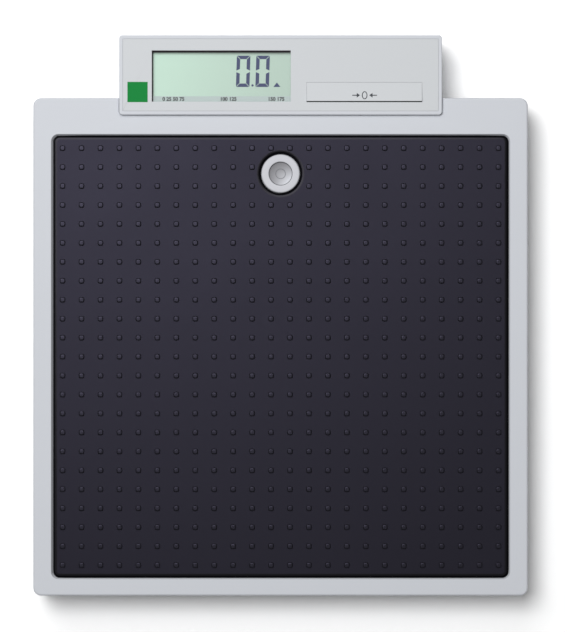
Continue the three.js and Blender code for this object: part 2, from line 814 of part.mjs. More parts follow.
// LCD carrier: a frame round the glass that stands on the board
function makeLcdCarrier() {
  const bottom = boardTopZ + restGap;
  return windowBlock(bottom, lcdTopZ, lcdLap + restGap + carrierWall)
    .subtract(windowBlock(bottom - cutOverrun, lcdTopZ + cutOverrun, lcdLap + restGap));
}

function makeContactStrip() {
  const left = windowLeftMargin - headHalfWidth;
  const front = windowFrontMargin - headHalfDepth + contactStripInset;
  return box(
    left, front, boardTopZ + restGap, left + windowWidth, front + contactStripWidth,
    lcdUnderZ - restGap);
}

function makeCircuitBoard() {
  const holes = mirroredPair((side) => drum(
    side * coverPostX, coverPostSetback, boardUnderZ - cutOverrun, boardTopZ + cutOverrun,
    coverScrewShank / 2 + runningGap, pinSides));
  return box(
    -boardHalfX, -boardHalfY, boardUnderZ, boardHalfX, boardHalfY, boardTopZ).subtract(holes);
}

function makeProcessorChip() {
  return box(
    -chipSize / 2, -chipSize / 2, boardTopZ + restGap, chipSize / 2, chipSize / 2,
    boardTopZ + restGap + chipHeight);
}

// Press key: a wedge whose front edge stands proud, with a rib that turns on two stubs at the
// rear and a nib that meets the switch
function makePressKey() {
  const side = new THREE.Shape();
  side.moveTo(keyFront, coverUnderZ);
  side.lineTo(keyRear - keyRibThickness, coverUnderZ);
  side.lineTo(keyRear - keyRibThickness, keyAxisZ - keyRibBelow);
  side.lineTo(keyRear, keyAxisZ - keyRibBelow);
  side.lineTo(keyRear, faceZ);
  side.lineTo(keyFront, faceZ + keyLipRise);
  const settings = { depth: keyRight - keyLeft, bevelEnabled: false };
  const wedge = new THREE.ExtrudeGeometry(side, settings)
    .rotateX(Math.PI / 2).rotateZ(Math.PI / 2).translate(keyLeft, 0, 0);
  const stubs = rodAlongX(
    keyLeft - keyStubReach, keyRight + keyStubReach, keyAxisY, keyAxisZ, keyStubDiameter / 2);
  const nib = drum(
    nibX, nibY, plungerTopZ + restGap, coverUnderZ + keyLipRise, nibDiameter / 2, pinSides);
  return joined([solidOf(wedge), stubs, nib]);
}

function makeSwitchBody() {
  const bottom = boardTopZ + restGap;
  const top = bottom + switchHeight;
  const half = switchSize / 2;
  return box(-half, -half, bottom, half, half, top).subtract(drum(
    0, 0, top - switchBoreDepth, top + cutOverrun, plungerDiameter / 2 + runningGap, pinSides));
}

function makeSwitchPlunger() {
  const boreFloor = boardTopZ + restGap + switchHeight - switchBoreDepth;
  return drum(0, 0, boreFloor + plungerTravelRoom, plungerTopZ, plungerDiameter / 2, pinSides);
}

// Head base: the lower shell, with posts for the board and bosses that seat in the pocket
function makeHeadBase() {
  const outside = prism(
    insetRect(headHalfWidth, headHalfDepth, 0, headCornerRadius), headBottomZ, headBaseTopZ);
  const cavity = prism(
    insetRect(headHalfWidth, headHalfDepth, headWall, headCornerRadius),
    headBottomZ + headWall, headBaseTopZ + cutOverrun);
  const floorMiddleZ = headBottomZ + headWall / 2;
  const posts = mirroredPair((side) => drum(
    side * coverPostX, coverPostSetback, floorMiddleZ, boardUnderZ - restGap,
    basePostDiameter / 2, pinSides));
  const seats = mirroredPair((side) => rodAlongY(
    side * headScrewX, restGap - headHalfDepth - pocketGap, headBossLength - headHalfDepth,
    headScrewZ, headBossDiameter / 2));
  const postBores = mirroredPair((side) => drum(
    side * coverPostX, coverPostSetback, headBottomZ - cutOverrun, boardUnderZ + cutOverrun,
    coverScrewShank / 2 + runningGap, pinSides));
  const sinks = mirroredPair((side) => drum(
    side * coverPostX, coverPostSetback, headBottomZ - cutOverrun, headBottomZ + coverScrewSink,
    coverScrewHeadDiameter / 2 + runningGap, pinSides));
  const seatBores = mirroredPair((side) => rodAlongY(
    side * headScrewX, -headHalfDepth - pocketGap - cutOverrun,
    headScrewLength + restGap - headHalfDepth - pocketGap - frameWall,
    headScrewZ, coverScrewShank / 2 + runningGap));
  const leadWay = leadHole(-headHalfDepth - cutOverrun, headWall + cutOverrun - headHalfDepth);
  return outside.subtract(cavity).add(posts).add(seats)
    .subtract(joined([postBores, sinks, seatBores, leadWay]));
}

// Leads. Each runs from its load cell, or from the battery bay, along the tray's floor in a lane
// of its own and through the oblong holes into the head, where it ends under the board. The
// points are chosen by hand and measured from what the lead meets. The height of a point is given
// as a share of the rise from the tray's floor.
const leadRunZ = trayBottomZ + trayFloor + leadFloorGap + leadDiameter / 2;
const leadEndZ = boardUnderZ - 2 * restGap;
const beamEndX = footX - beamLength + beamEndMargin;
const beamMiddleZ = beamBottomZ + beamHeight / 2;

function mix(low, high, share) {
  return low + (high - low) * share;
}

// Points from a load cell's inner end towards the middle of the scale: how far inwards, how far
// along Y, and the height share up to the middle of the load cell
const shortStart = [[0.4, 0, 1], [4.6, 0.4, 0.96], [8, 3.3, 0.57]];
const sideStart = [[0.4, 0, 1], [5.5, 0.4, 0.94], [11, 3.8, 0.45]];
const crossingStart = [
  [0.4, 0, 1], [5.5, 0.4, 0.94], [12.5, 4.8, 0.36], [22.5, 11.8, 0.1], [42.5, 15.8, 0],
];
// Points where a lead that has crossed the scale turns into its lane: how far beside the lane and
// how far along Y
const laneTurn = [[13.6, 0], [3.3, 4], [0.2, 13], [0, 23]];
// Points in the lane beside a load cell: how far along Y from the foot, and the height share
const shortLane = [[8.8, 0.11]];
const sideLane = [[20, 0.1], [27, 0], [40, 0]];
// Points from the battery bay's left end: how far outwards, how far along Y, and the height share
const bayStart = [[0.4, 0, 0.14], [8.2, 0.3, 0.09], [12, 5, 0], [12.8, 15, 0], [12.8, 25, 0]];
// Points before the pocket on the long lanes
const laneEnd = [-37, -25];
// Points of the climb: how far along Y from the pocket's front, and the height share, which is 1
// in the oblong holes and 2 under the board
const climb = [
  [-16, 0.09], [-10.6, 0.36], [-7.6, 0.75], [-3.4, 0.98], [2, 1], [9, 1.05], [13, 1.4], [14, 2],
];

function fromBeam(rows, side, y, direction) {
  return rows.map(([inwards, along, share]) => [
    side * (beamEndX - inwards), y + direction * along, mix(leadRunZ, beamMiddleZ, share)]);
}

function upIntoHead(lane) {
  return climb.map(([along, share]) => {
    const z = share > 1 ? mix(leadHoleZ, leadEndZ, share - 1) : mix(leadRunZ, leadHoleZ, share);
    return [lane, pocketFrontY + along, z];
  });
}

function crossing(y, direction, lane) {
  const turnY = y + direction * crossingStart.at(-1)[1];
  const turn = laneTurn.map(([beside, along]) => [lane + beside, turnY + along, leadRunZ]);
  return [...fromBeam(crossingStart, 1, y, direction), ...turn];
}

function inLane(rows, lane, y) {
  return rows.map(([along, share]) => [lane, y + along, mix(leadRunZ, beamMiddleZ, share)]);
}

function fromBay(rows) {
  const slotY = leadSlotShare * bayHalfDepth;
  return rows.map(([outwards, along, share]) => [
    -bayHalfLength - outwards, slotY + along, mix(leadRunZ, beamMiddleZ, share)]);
}

function longEnd(lane) {
  return laneEnd.map((along) => [lane, pocketFrontY + along, leadRunZ]);
}

function leadRoutes() {
  const lanes = [-2, -1, 0, 1, 2].map((place) => leadHoleX + place * leadPitch);
  return {
    lead_rear_left: [
      ...fromBeam(shortStart, -1, rearFootY, 1), ...inLane(shortLane, lanes[0], rearFootY),
    ],
    lead_front_left: [
      ...fromBeam(sideStart, -1, frontFootY, 1), ...inLane(sideLane, lanes[1], frontFootY),
      ...longEnd(lanes[1]),
    ],
    lead_front_right: [...crossing(frontFootY, 1, lanes[2]), ...longEnd(lanes[2])],
    lead_battery: [...fromBay(bayStart), ...longEnd(lanes[3])],
    lead_rear_right: crossing(rearFootY, -1, lanes[4]),
  };
}

function makeLead(start) {
  const route = [...start, ...upIntoHead(start.at(-1)[0])];
  const path = new THREE.CatmullRomCurve3(
    route.map(([x, y, z]) => new THREE.Vector3(x, y, z)), false, 'centripetal');
  const section = new THREE.Shape().absarc(0, 0, leadDiameter / 2, 0, 2 * Math.PI);
  return solidOf(new THREE.ExtrudeGeometry(section, {
    steps: Math.round(path.getLength() / (leadStepDiameters * leadDiameter)),
    curveSegments: cableSides / 2,
    extrudePath: path,
  }));
}

const body = new THREE.Group();
body.position.set(0, bodyY, 0);
body.add(
  piece('top_frame', makeTopFrame(), shellGrey),
  piece('standing_mat', makeStandingMat(), matRubber),
  piece('platform_plate', makePlatformPlate(), steel),
  piece('base_tray', makeBaseTray(), trayGrey),
  piece('level_bezel', makeLevelBezel(), levelWhite, 0, levelY),
  piece('level_vial', makeLevelVial(), levelFluid, 0, levelY),
  piece('level_cup', makeLevelCup(), trayGrey, 0, levelY),
  piece('battery_lid', makeBatteryLid(), trayGrey),
  piece('battery_contacts_left', makeContacts(-1), steel),
  piece('battery_contacts_right', makeContacts(1), steel),
);

const cell = makeCell();
cellPlaces.forEach((y, i) => {
  const mesh = piece(`battery_cell_${i + 1}`, cell, cellSleeve, 0, y, cellAxisZ);
  mesh.rotation.z = (i % 2) * Math.PI;
  body.add(mesh);
});

const beam = makeBeam();
const spacer = makeSpacer();
const pad = makeFootPad();
const stud = makeFootStud();
corners.forEach(({ name, side, y }) => {
  const corner = new THREE.Group();
  corner.position.set(side * footX, y, 0);
  corner.rotation.z = side > 0 ? Math.PI : 0;
  corner.add(
    piece(`load_cell_${name}`, beam, aluminium, 0, 0, beamBottomZ),
    piece(`load_cell_spacer_${name}`, spacer, steel, 0, 0, beamTopZ + restGap),
    piece(`foot_pad_${name}`, pad, footRubber),
    piece(`foot_stud_${name}`, stud, steel),
  );
  body.add(corner);
});

const baseScrew = screwSolid(
  screwHeadDiameter / 2, screwHeadHeight, screwShankDiameter / 2, screwLength);
[['front', -1], ['rear', 1]].forEach(([end, y]) => {
  [['left', -1], ['right', 1]].forEach(([side, x]) => {
    const name = `base_screw_${end}_${side}`;
    body.add(piece(name, baseScrew, steel, x * bossX, y * bossY, screwSeatZ - restGap));
  });
});

const head = new THREE.Group();
head.position.set(0, headY, 0);
const labelX = labelLeftMargin + labelSize / 2 - headHalfWidth;
const labelY = labelFrontMargin + labelSize / 2 - headHalfDepth;
const labelHalf = labelSize / 2;
head.add(
  piece('head_cover', makeHeadCover(), shellGrey),
  piece('face_panel', makeFacePanel(), panelGrey),
  piece('display_window', windowBlock(paneTopZ - paneThickness, paneTopZ, paneLap), clearPane),
  piece('lcd_glass', windowBlock(lcdUnderZ, lcdTopZ, lcdLap), lcdGreen),
  piece('lcd_carrier', makeLcdCarrier(), carrierWhite),
  piece('contact_strip', makeContactStrip(), stripBlack),
  piece('circuit_board', makeCircuitBoard(), boardGreen),
  piece('processor_chip', makeProcessorChip(), chipBlack,
    chipXShare * boardHalfX, chipYShare * boardHalfY),
  piece('press_key', makePressKey(), shellGrey),
  piece('switch_body', makeSwitchBody(), chipBlack, nibX, nibY),
  piece('switch_plunger', makeSwitchPlunger(), stripBlack, nibX, nibY),
  piece('green_label', box(
    -labelHalf, -labelHalf, 0, labelHalf, labelHalf, labelThickness), labelGreen,
  labelX, labelY, faceZ),
  piece('head_base', makeHeadBase(), shellGrey),
);

const coverScrewLength = coverUnderZ - 2 * coverScrewTipRoom - headBottomZ - coverScrewSink;
const coverScrew = screwSolid(
  coverScrewHeadDiameter / 2, coverScrewHead, coverScrewShank / 2, coverScrewLength);
const headScrew = screwSolid(
  coverScrewHeadDiameter / 2, coverScrewHead, coverScrewShank / 2, headScrewLength);
[['left', -1], ['right', 1]].forEach(([name, side]) => {
  head.add(piece(`cover_screw_${name}`, coverScrew, steel,
    side * coverPostX, coverPostSetback, headBottomZ + coverScrewSink - restGap));
  const level = piece(`head_screw_${name}`, headScrew, steel,
    side * headScrewX, -headHalfDepth - pocketGap - frameWall - restGap, headScrewZ);
  level.rotation.x = -Math.PI / 2;
  head.add(level);
});

Object.entries(leadRoutes()).forEach(([name, start]) => {
  body.add(piece(name, makeLead(start), leadGrey));
});

const scale = new THREE.Group();
scale.add(body, head);

export default scale;
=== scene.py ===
import math

import bmesh
import bpy
import numpy as np
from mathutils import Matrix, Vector


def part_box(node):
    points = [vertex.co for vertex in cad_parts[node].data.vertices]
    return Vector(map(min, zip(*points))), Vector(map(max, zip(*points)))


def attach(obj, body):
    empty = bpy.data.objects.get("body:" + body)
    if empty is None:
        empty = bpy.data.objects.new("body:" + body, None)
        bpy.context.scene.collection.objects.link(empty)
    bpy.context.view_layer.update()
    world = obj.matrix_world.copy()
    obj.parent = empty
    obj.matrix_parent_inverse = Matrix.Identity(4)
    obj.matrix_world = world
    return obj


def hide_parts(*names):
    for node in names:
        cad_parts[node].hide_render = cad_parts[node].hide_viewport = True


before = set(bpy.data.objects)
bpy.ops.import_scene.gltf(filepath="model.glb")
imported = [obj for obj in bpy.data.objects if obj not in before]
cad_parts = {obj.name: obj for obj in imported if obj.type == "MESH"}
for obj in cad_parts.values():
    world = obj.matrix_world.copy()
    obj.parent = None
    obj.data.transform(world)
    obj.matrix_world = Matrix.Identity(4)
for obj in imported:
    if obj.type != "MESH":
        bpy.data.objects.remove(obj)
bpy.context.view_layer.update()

bl_info = {
    "name": "Floor scale",
    "version": (1, 0, 0),
    "blender": (4, 5, 0),
    "location": "View3D > Sidebar > Scale",
    "description": "Dresses a flat floor scale with a display head, piece by piece",
    "category": "Object",
}

MM = 0.001
SUNK, INK = 0.02 * MM, 0.03 * MM  # how far print reaches into what carries it, and above it
CORNERS = ("front_left", "front_right", "rear_left", "rear_right")


def linear(hex_value):
    """Turns an sRGB hex value into linear red, green and blue."""
    parts = np.array([hex_value >> 16 & 255, hex_value >> 8 & 255, hex_value & 255]) / 255
    bent = np.where(parts <= 0.04045, parts / 12.92, ((parts + 0.055) / 1.055) ** 2.4)
    return tuple(float(part) for part in bent)


def colour(name, hex_value, description):
    """A colour that a user may change."""
    return bpy.props.FloatVectorProperty(
        name=name, description=description, default=linear(hex_value),
        subtype="COLOR", size=3, min=0, max=1)


def length(name, millimetres, description):
    """A length that a user may change, kept in metres."""
    return bpy.props.FloatProperty(
        name=name, description=description, default=millimetres * MM,
        subtype="DISTANCE", unit="LENGTH", precision=5, min=0)


def number(name, default, description, **extra):
    """A plain number that a user may change."""
    return bpy.props.FloatProperty(
        name=name, description=description, default=default, **{"min": 0, **extra})


def position(name, default, description):
    """A place in metres that a user may change."""
    return bpy.props.FloatVectorProperty(
        name=name, description=description, default=default, size=3, subtype="XYZ", unit="LENGTH")


class ShellSettings(bpy.types.PropertyGroup):
    """Colours and edges of the housings."""

    shell: colour("Shell", 0xCDD0D6, "Frame, head and key")
    panel: colour("Face panel", 0xCBCED1, "Sheet on the face of the display head")
    tray: colour("Tray", 0x8F9297, "Base tray and battery lid")
    grain: number("Grain", 0.7, "Width of the spark-eroded grain in millimetres", min=0.1)
    shell_edge: length("Shell edge", 0.15, "Rounding of the shells' sharp edges")
    head_fit: length("Head fit", 0.24, "How far the head's front bears on its pocket")
    panel_edge: length("Panel edge", 0.1, "Rounding of the face panel's and the cover's edges")
    panel_fit: length("Panel fit", 0.22, "How far the soft face panel swells into its gap")
    key_fit: length("Key fit", 0.33, "How far the key's soft skirt swells into its gap")
    key_front_fit: length("Key front fit", 0.25, "The same at the key's front edge")


class MatSettings(bpy.types.PropertyGroup):
    """Colour and sizes of the standing mat."""

    rubber: colour("Rubber", 0x0F0F10, "Sheet of the mat")
    worn: colour("Worn rubber", 0x131314, "Tops of the studs, where shoes polish them")
    sheen: colour("Sheen", 0xD6D0FA, "Tint of the mat's shine")
    border_sheen: colour("Border sheen", 0xE2DEF4, "The same on its round border")
    thickness: length("Thickness", 3.1, "Height of the sheet above its underside")
    edge: length("Edge", 5.0, "Radius of the sheet's round border")
    edge_turn: number(
        "Edge turn", 15, "Degrees that the border falls away before the cut side", min=5, max=90)
    groove: length("Groove", 0.25, "How far the cut side stays inside the sheet's outline")
    flange: length("Flange", 0.6, "Thickness of the lip in the grooves round the sheet")
    flange_reach: length("Flange reach", 1.1, "How far the lip reaches into the grooves")
    hole_gap: length("Hole gap", 1.7, "From the level's bezel to the sheet's hole")
    hole_reach: length("Hole reach", 1.5, "How far the lip reaches into the level's groove")
    swell: length("Swell", 0.6, "How much the sheet swells towards the lip in its recess")
    left_swell: length("Left swell", 0.3, "The same at the sheet's left")
    climb: length("Climb", 0.55, "How far the flange runs up the sloping lip")
    lip_slope: number("Lip slope", 2.07, "Rise of the recess's lip over its width")
    corner: length("Corner", 3.3, "Radius of the sheet's corners in plan")
    pitch: length("Pitch", 12.3, "Distance from stud to stud")
    stud_margin: length("Stud margin", 4.7, "Least distance from a stud to the sheet's sides")
    stud_base: length("Stud base", 3.7, "Width of a stud where it leaves the sheet")


class LevelSettings(bpy.types.PropertyGroup):
    """Colours and sizes of the spirit level."""

    ring: colour("Ring", 0xC9CAD0, "Bezel round the level")
    # The dish's two colours are painted light and shade: lit at the lower right, shaded at the upper
    # left
    dish: colour("Dish", 0xD8DAE0, "Dish under the fluid, on its light side")
    dish_painted_shade: colour("Dish in shade", 0x9E9EA2, "Dish under the fluid, on its shaded side")
    mark: colour("Mark", 0x74767A, "Target ring")
    dish_drop: length("Dish drop", 0.8, "How far below the fluid's top the dish begins")
    dish_depth: length("Dish depth", 3.4, "How far the dish sinks towards its middle")
    target: length("Target", 6.3, "Diameter of the target ring")
    target_line: length("Target line", 0.4, "Width of the target ring's line")


class DisplaySettings(bpy.types.PropertyGroup):
    """Colours and sizes of the readout."""

    # The film's two colours are painted shade: it darkens from the left towards the right
    film: colour("Film", 0xC5E2D1, "Reflective film behind the segments, at the left")
    film_right_painted_shade: colour("Film at the right", 0xB4C8BC, "The film where it sends less light back")
    ink: colour("Segments", 0x343C66, "Segments that are switched on")
    strip: colour("Strip", 0xB4C2C0, "Printed strip along the window's front edge")
    print_ink: colour("Print", 0x0C1014, "Numbers on the strip")
    sign_ink: colour("Sign", 0x383C42, "Sign on the key")
    label: colour("Label", 0x12823A, "Square label beside the window")
    digit_width: length("Digit width", 8.8, "Width of a digit")
    digit_height: length("Digit height", 20.3, "Height of a digit")
    bar: length("Bar", 2.25, "Thickness of a digit's bars")
    bar_gap: length("Bar gap", 0.22, "Slanting gap between a digit's bars")
    waist: length("Waist", 0.5, "Half the gap between a digit's upper and lower bars")
    waist_slant: length("Waist slant", 1.0, "How far that gap widens towards the inside")
    # The strips along the window's rear and left are painted shadow of the window's walls
    wall_shadow_rear: length("Seal at the rear", 1.1, "Width of the black seal at the window's rear")
    wall_shadow_side: length("Seal at the side", 0.6, "Width of the black seal at the window's left")
    glass_lap: length("Glass lap", 2.0, "How far the glass reaches under the window's sides")


class FootSettings(bpy.types.PropertyGroup):
    """Colours and sizes of the feet and the metal pieces."""

    rubber: colour("Rubber", 0x26262A, "Foot pads")
    zinc: colour("Zinc", 0xB4B6B8, "Plated steel")
    aluminium: colour("Aluminium", 0xC8CACC, "Load cells")
    knurl: length("Knurl", 0.5, "Depth of the grips round a foot's collar")


class StageSettings(bpy.types.PropertyGroup):
    """Camera, lights and floor."""

    lens: number("Lens", 300, "Focal length in millimetres", min=10, unit="CAMERA")
    camera_at: position(
        "Camera", (1.9 * MM, -0.3 * MM, 3473.5 * MM), "Where the camera hangs and looks down")
    key_strength: number("Key light", 1.45, "Light from far off, as through a large window")
    key_angle: number(
        "Key angle", math.radians(18.5), "Angle that the key light's source spans",
        subtype="ANGLE")
    key_from: position(
        "Key light's side", (-0.5, 0.5, 3.0), "Direction that the key light comes from")
    soft_watts: number("Soft box", 4.0, "Power of the near soft box", unit="POWER")
    soft_size: length("Soft box size", 860, "Diameter of the soft box")
    soft_from: position("Soft box's place", (-0.2, 0.38, 0.85), "Where the soft box hangs")
    fill: number("Fill", 0.23, "Strength of the light from all round")
    floor: colour("Floor", 0xEFEFEF, "Floor as the other pieces see it")
    floor_white: number("Floor white", 1.31, "Floor as it is seen, where one is plain white paper")
    floor_reach: length("Floor reach", 3000, "From the middle of the floor to its sides")


SETTINGS = {
    "scale_shell": ShellSettings,
    "scale_mat": MatSettings,
    "scale_level": LevelSettings,
    "scale_display": DisplaySettings,
    "scale_foot": FootSettings,
    "scale_stage": StageSettings,
}


def add(tree, kind, inputs=None, **settings):
    """Adds a node with its settings, and fills or links its inputs by name or number."""
    new = tree.nodes.new(kind)
    for name, value in settings.items():
        setattr(new, name, value)
    for socket, value in (inputs or {}).items():
        if isinstance(value, bpy.types.NodeSocket):
            tree.links.new(value, new.inputs[socket])
        else:
            new.inputs[socket].default_value = value
    return new


def blank_material(name):
    """A new material, its emptied tree and its Object coordinates."""
    material = bpy.data.materials.new(name)
    material.use_nodes = True
    tree = material.node_tree
    tree.nodes.clear()
    return material, tree, add(tree, "ShaderNodeTexCoord").outputs["Object"]


def shown(material, inputs, kind="ShaderNodeBsdfPrincipled"):
    """The material with one shader, its inputs filled or linked, on its surface."""
    shader = add(material.node_tree, kind, inputs)
    add(material.node_tree, "ShaderNodeOutputMaterial", {"Surface": shader.outputs["BSDF"]})
    return material


def tinted(tree, factor, base, spread):
    """The base colour made darker and lighter by a share, as the factor says."""
    base = np.array(base)
    return add(tree, "ShaderNodeMix", {
        "Factor": factor, "A": (*(base * (1 - spread)), 1), "B": (*(base * (1 + spread)), 1),
    }, data_type="RGBA").outputs["Result"]


def grained(material, cloud, grain, base, mottle, roughness, swing, relief, **more):
    """The material with its colour and gloss changed by a cloud and its surface by a grain.

    The relief is in millimetres.
    """
    tree = material.node_tree
    gloss = add(tree, "ShaderNodeMapRange", {
        "Value": cloud, "From Min": 0.3, "From Max": 0.7,
        "To Min": roughness - swing, "To Max": roughness + swing})
    bump = add(tree, "ShaderNodeBump", {"Height": grain, "Distance": relief * MM})
    return shown(material, {
        "Base Color": tinted(tree, cloud, base, mottle), "Roughness": gloss.outputs["Result"],
        "Normal": bump.outputs["Normal"], **more})


def moulded(name, base, roughness, grain, relief, mottle=0.04, cloud=35, specular=0.5,
            sheen=(1, 1, 1)):
    """Moulded plastic or rubber. Grain, relief and cloud are in millimetres.

    A fine grain lifts the surface by its relief, and a wide cloud changes colour and gloss a
    little, as flow in the mould does.
    """
    material, tree, spot = blank_material(name)
    fine = add(tree, "ShaderNodeTexNoise", {
        "Vector": spot, "Scale": 1 / (grain * MM), "Detail": 2.0, "Roughness": 0.6})
    wide = add(tree, "ShaderNodeTexNoise", {
        "Vector": spot, "Scale": 1 / (cloud * MM), "Detail": 3.0, "Roughness": 0.55})
    return grained(
        material, wide.outputs["Fac"], fine.outputs["Fac"], base, mottle, roughness, 0.02, relief,
        **{"Specular IOR Level": specular, "Specular Tint": (*sheen, 1)})


def graded(name, start, end, centre, away, half, bend, roughness, painted_shade_sides=(),
           grain=0.6, relief=0.004):
    """A finish whose colour goes from one end to the other of a stretch through its centre, as
    painted shade.

    The share of the end colour is (distance along the stretch, from 0 to 1) to the power bend.
    Each painted-shade side is an axis, a place on it, a reach and the share of the colour
    that is left at that place, where the painted shadow is darkest. It rises smoothly to the
    whole colour over the reach.
    """
    material, tree, spot = blank_material(name)
    away = Vector(away).normalized()
    along = add(tree, "ShaderNodeVectorMath", {0: spot, 1: away}, operation="DOT_PRODUCT")
    middle = away.dot(centre)
    distance = add(tree, "ShaderNodeMapRange", {
        "Value": along.outputs["Value"], "From Min": middle - half * MM,
        "From Max": middle + half * MM})
    share = add(tree, "ShaderNodeMath", {0: distance.outputs["Result"], 1: bend}, operation="POWER")
    mixed = add(tree, "ShaderNodeMix", {
        "Factor": share.outputs[0], "A": (*start, 1), "B": (*end, 1)}, data_type="RGBA")
    fine = add(tree, "ShaderNodeTexNoise", {"Vector": spot, "Scale": 1 / (grain * MM)})
    bump = add(tree, "ShaderNodeBump", {"Height": fine.outputs["Fac"], "Distance": relief * MM})
    colour_out = mixed.outputs["Result"]
    parts = add(tree, "ShaderNodeSeparateXYZ", {0: spot}) if painted_shade_sides else None
    for axis, edge, reach, left in painted_shade_sides:
        share = add(tree, "ShaderNodeMapRange", {
            "Value": parts.outputs[axis], "From Min": edge, "From Max": edge + reach,
            "To Min": left, "To Max": 1.0}, interpolation_type="SMOOTHSTEP")
        colour_out = add(tree, "ShaderNodeVectorMath", {
            0: colour_out, "Scale": share.outputs["Result"]}, operation="SCALE").outputs["Vector"]
    return shown(material, {
        "Base Color": colour_out, "Roughness": roughness, "Normal": bump.outputs["Normal"],
        "Specular IOR Level": 0.2})


def metal(name, base, roughness, stretch, line, relief, swing=0.08):
    """Metal with fine lines, whose width and relief are in millimetres.

    Noise stretched along one direction gives cutting or rolling marks.
    """
    material, tree, spot = blank_material(name)
    along = add(tree, "ShaderNodeMapping", {"Vector": spot, "Scale": stretch})
    lines = add(tree, "ShaderNodeTexNoise", {
        "Vector": along.outputs["Vector"], "Scale": 1 / (line * MM), "Detail": 3.0,
        "Roughness": 0.6,
    }).outputs["Fac"]
    return grained(material, lines, lines, base, swing, roughness, swing, relief, Metallic=1.0)


def clear(name, base, roughness, alpha, haze=12):
    """Clear sheet. Most light goes straight through, and the rest is its shine and faint tint.

    The haze is as wide as it says in millimetres.
    """
    material, tree, spot = blank_material(name)
    cloud = add(tree, "ShaderNodeTexNoise", {"Vector": spot, "Scale": 1 / (haze * MM)})
    gloss = add(tree, "ShaderNodeMapRange", {
        "Value": cloud.outputs["Fac"], "To Min": roughness * 0.7, "To Max": roughness * 1.3})
    return shown(material, {
        "Base Color": tinted(tree, cloud.outputs["Fac"], base, 0.02),
        "Roughness": gloss.outputs["Result"], "Alpha": alpha})


def tracks(name, base, copper, pitch, relief=0.03):
    """Circuit board. Straight tracks show through the glossy solder mask.

    Their pitch and relief are in millimetres.
    """
    material, tree, spot = blank_material(name)
    grid = add(tree, "ShaderNodeTexBrick", {
        "Vector": spot, "Color1": (*base, 1), "Color2": (*base, 1), "Mortar": (*copper, 1),
        "Scale": 1 / (pitch * MM), "Mortar Size": 0.12, "Brick Width": 3.0, "Row Height": 1.0})
    bump = add(tree, "ShaderNodeBump", {"Height": grid.outputs["Fac"], "Distance": relief * MM})
    return shown(material, {
        "Base Color": grid.outputs["Color"], "Roughness": 0.35, "Normal": bump.outputs["Normal"]})


def settings_of(name):
    """The settings of that name, as the scene holds them."""
    return getattr(bpy.context.scene, name)


def window_sides():
    """The left, front, right and rear of the window over the LCD glass."""
    low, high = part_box("lcd_glass")
    lap = settings_of("scale_display").glass_lap
    return low.x + lap, low.y + lap, high.x - lap, high.y - lap


def painted_film_shade():
    """Painted shadow on the film: 2.2 mm in from the dark strip at the rear and 1.4 mm at the left.

    45% of the colour is left beside the rear strip and 55% beside the left one.
    """
    display = settings_of("scale_display")
    left, _, _, rear = window_sides()
    return ((1, rear - display.wall_shadow_rear, -2.2 * MM, 0.45),
            (0, left + display.wall_shadow_side, 1.4 * MM, 0.55))


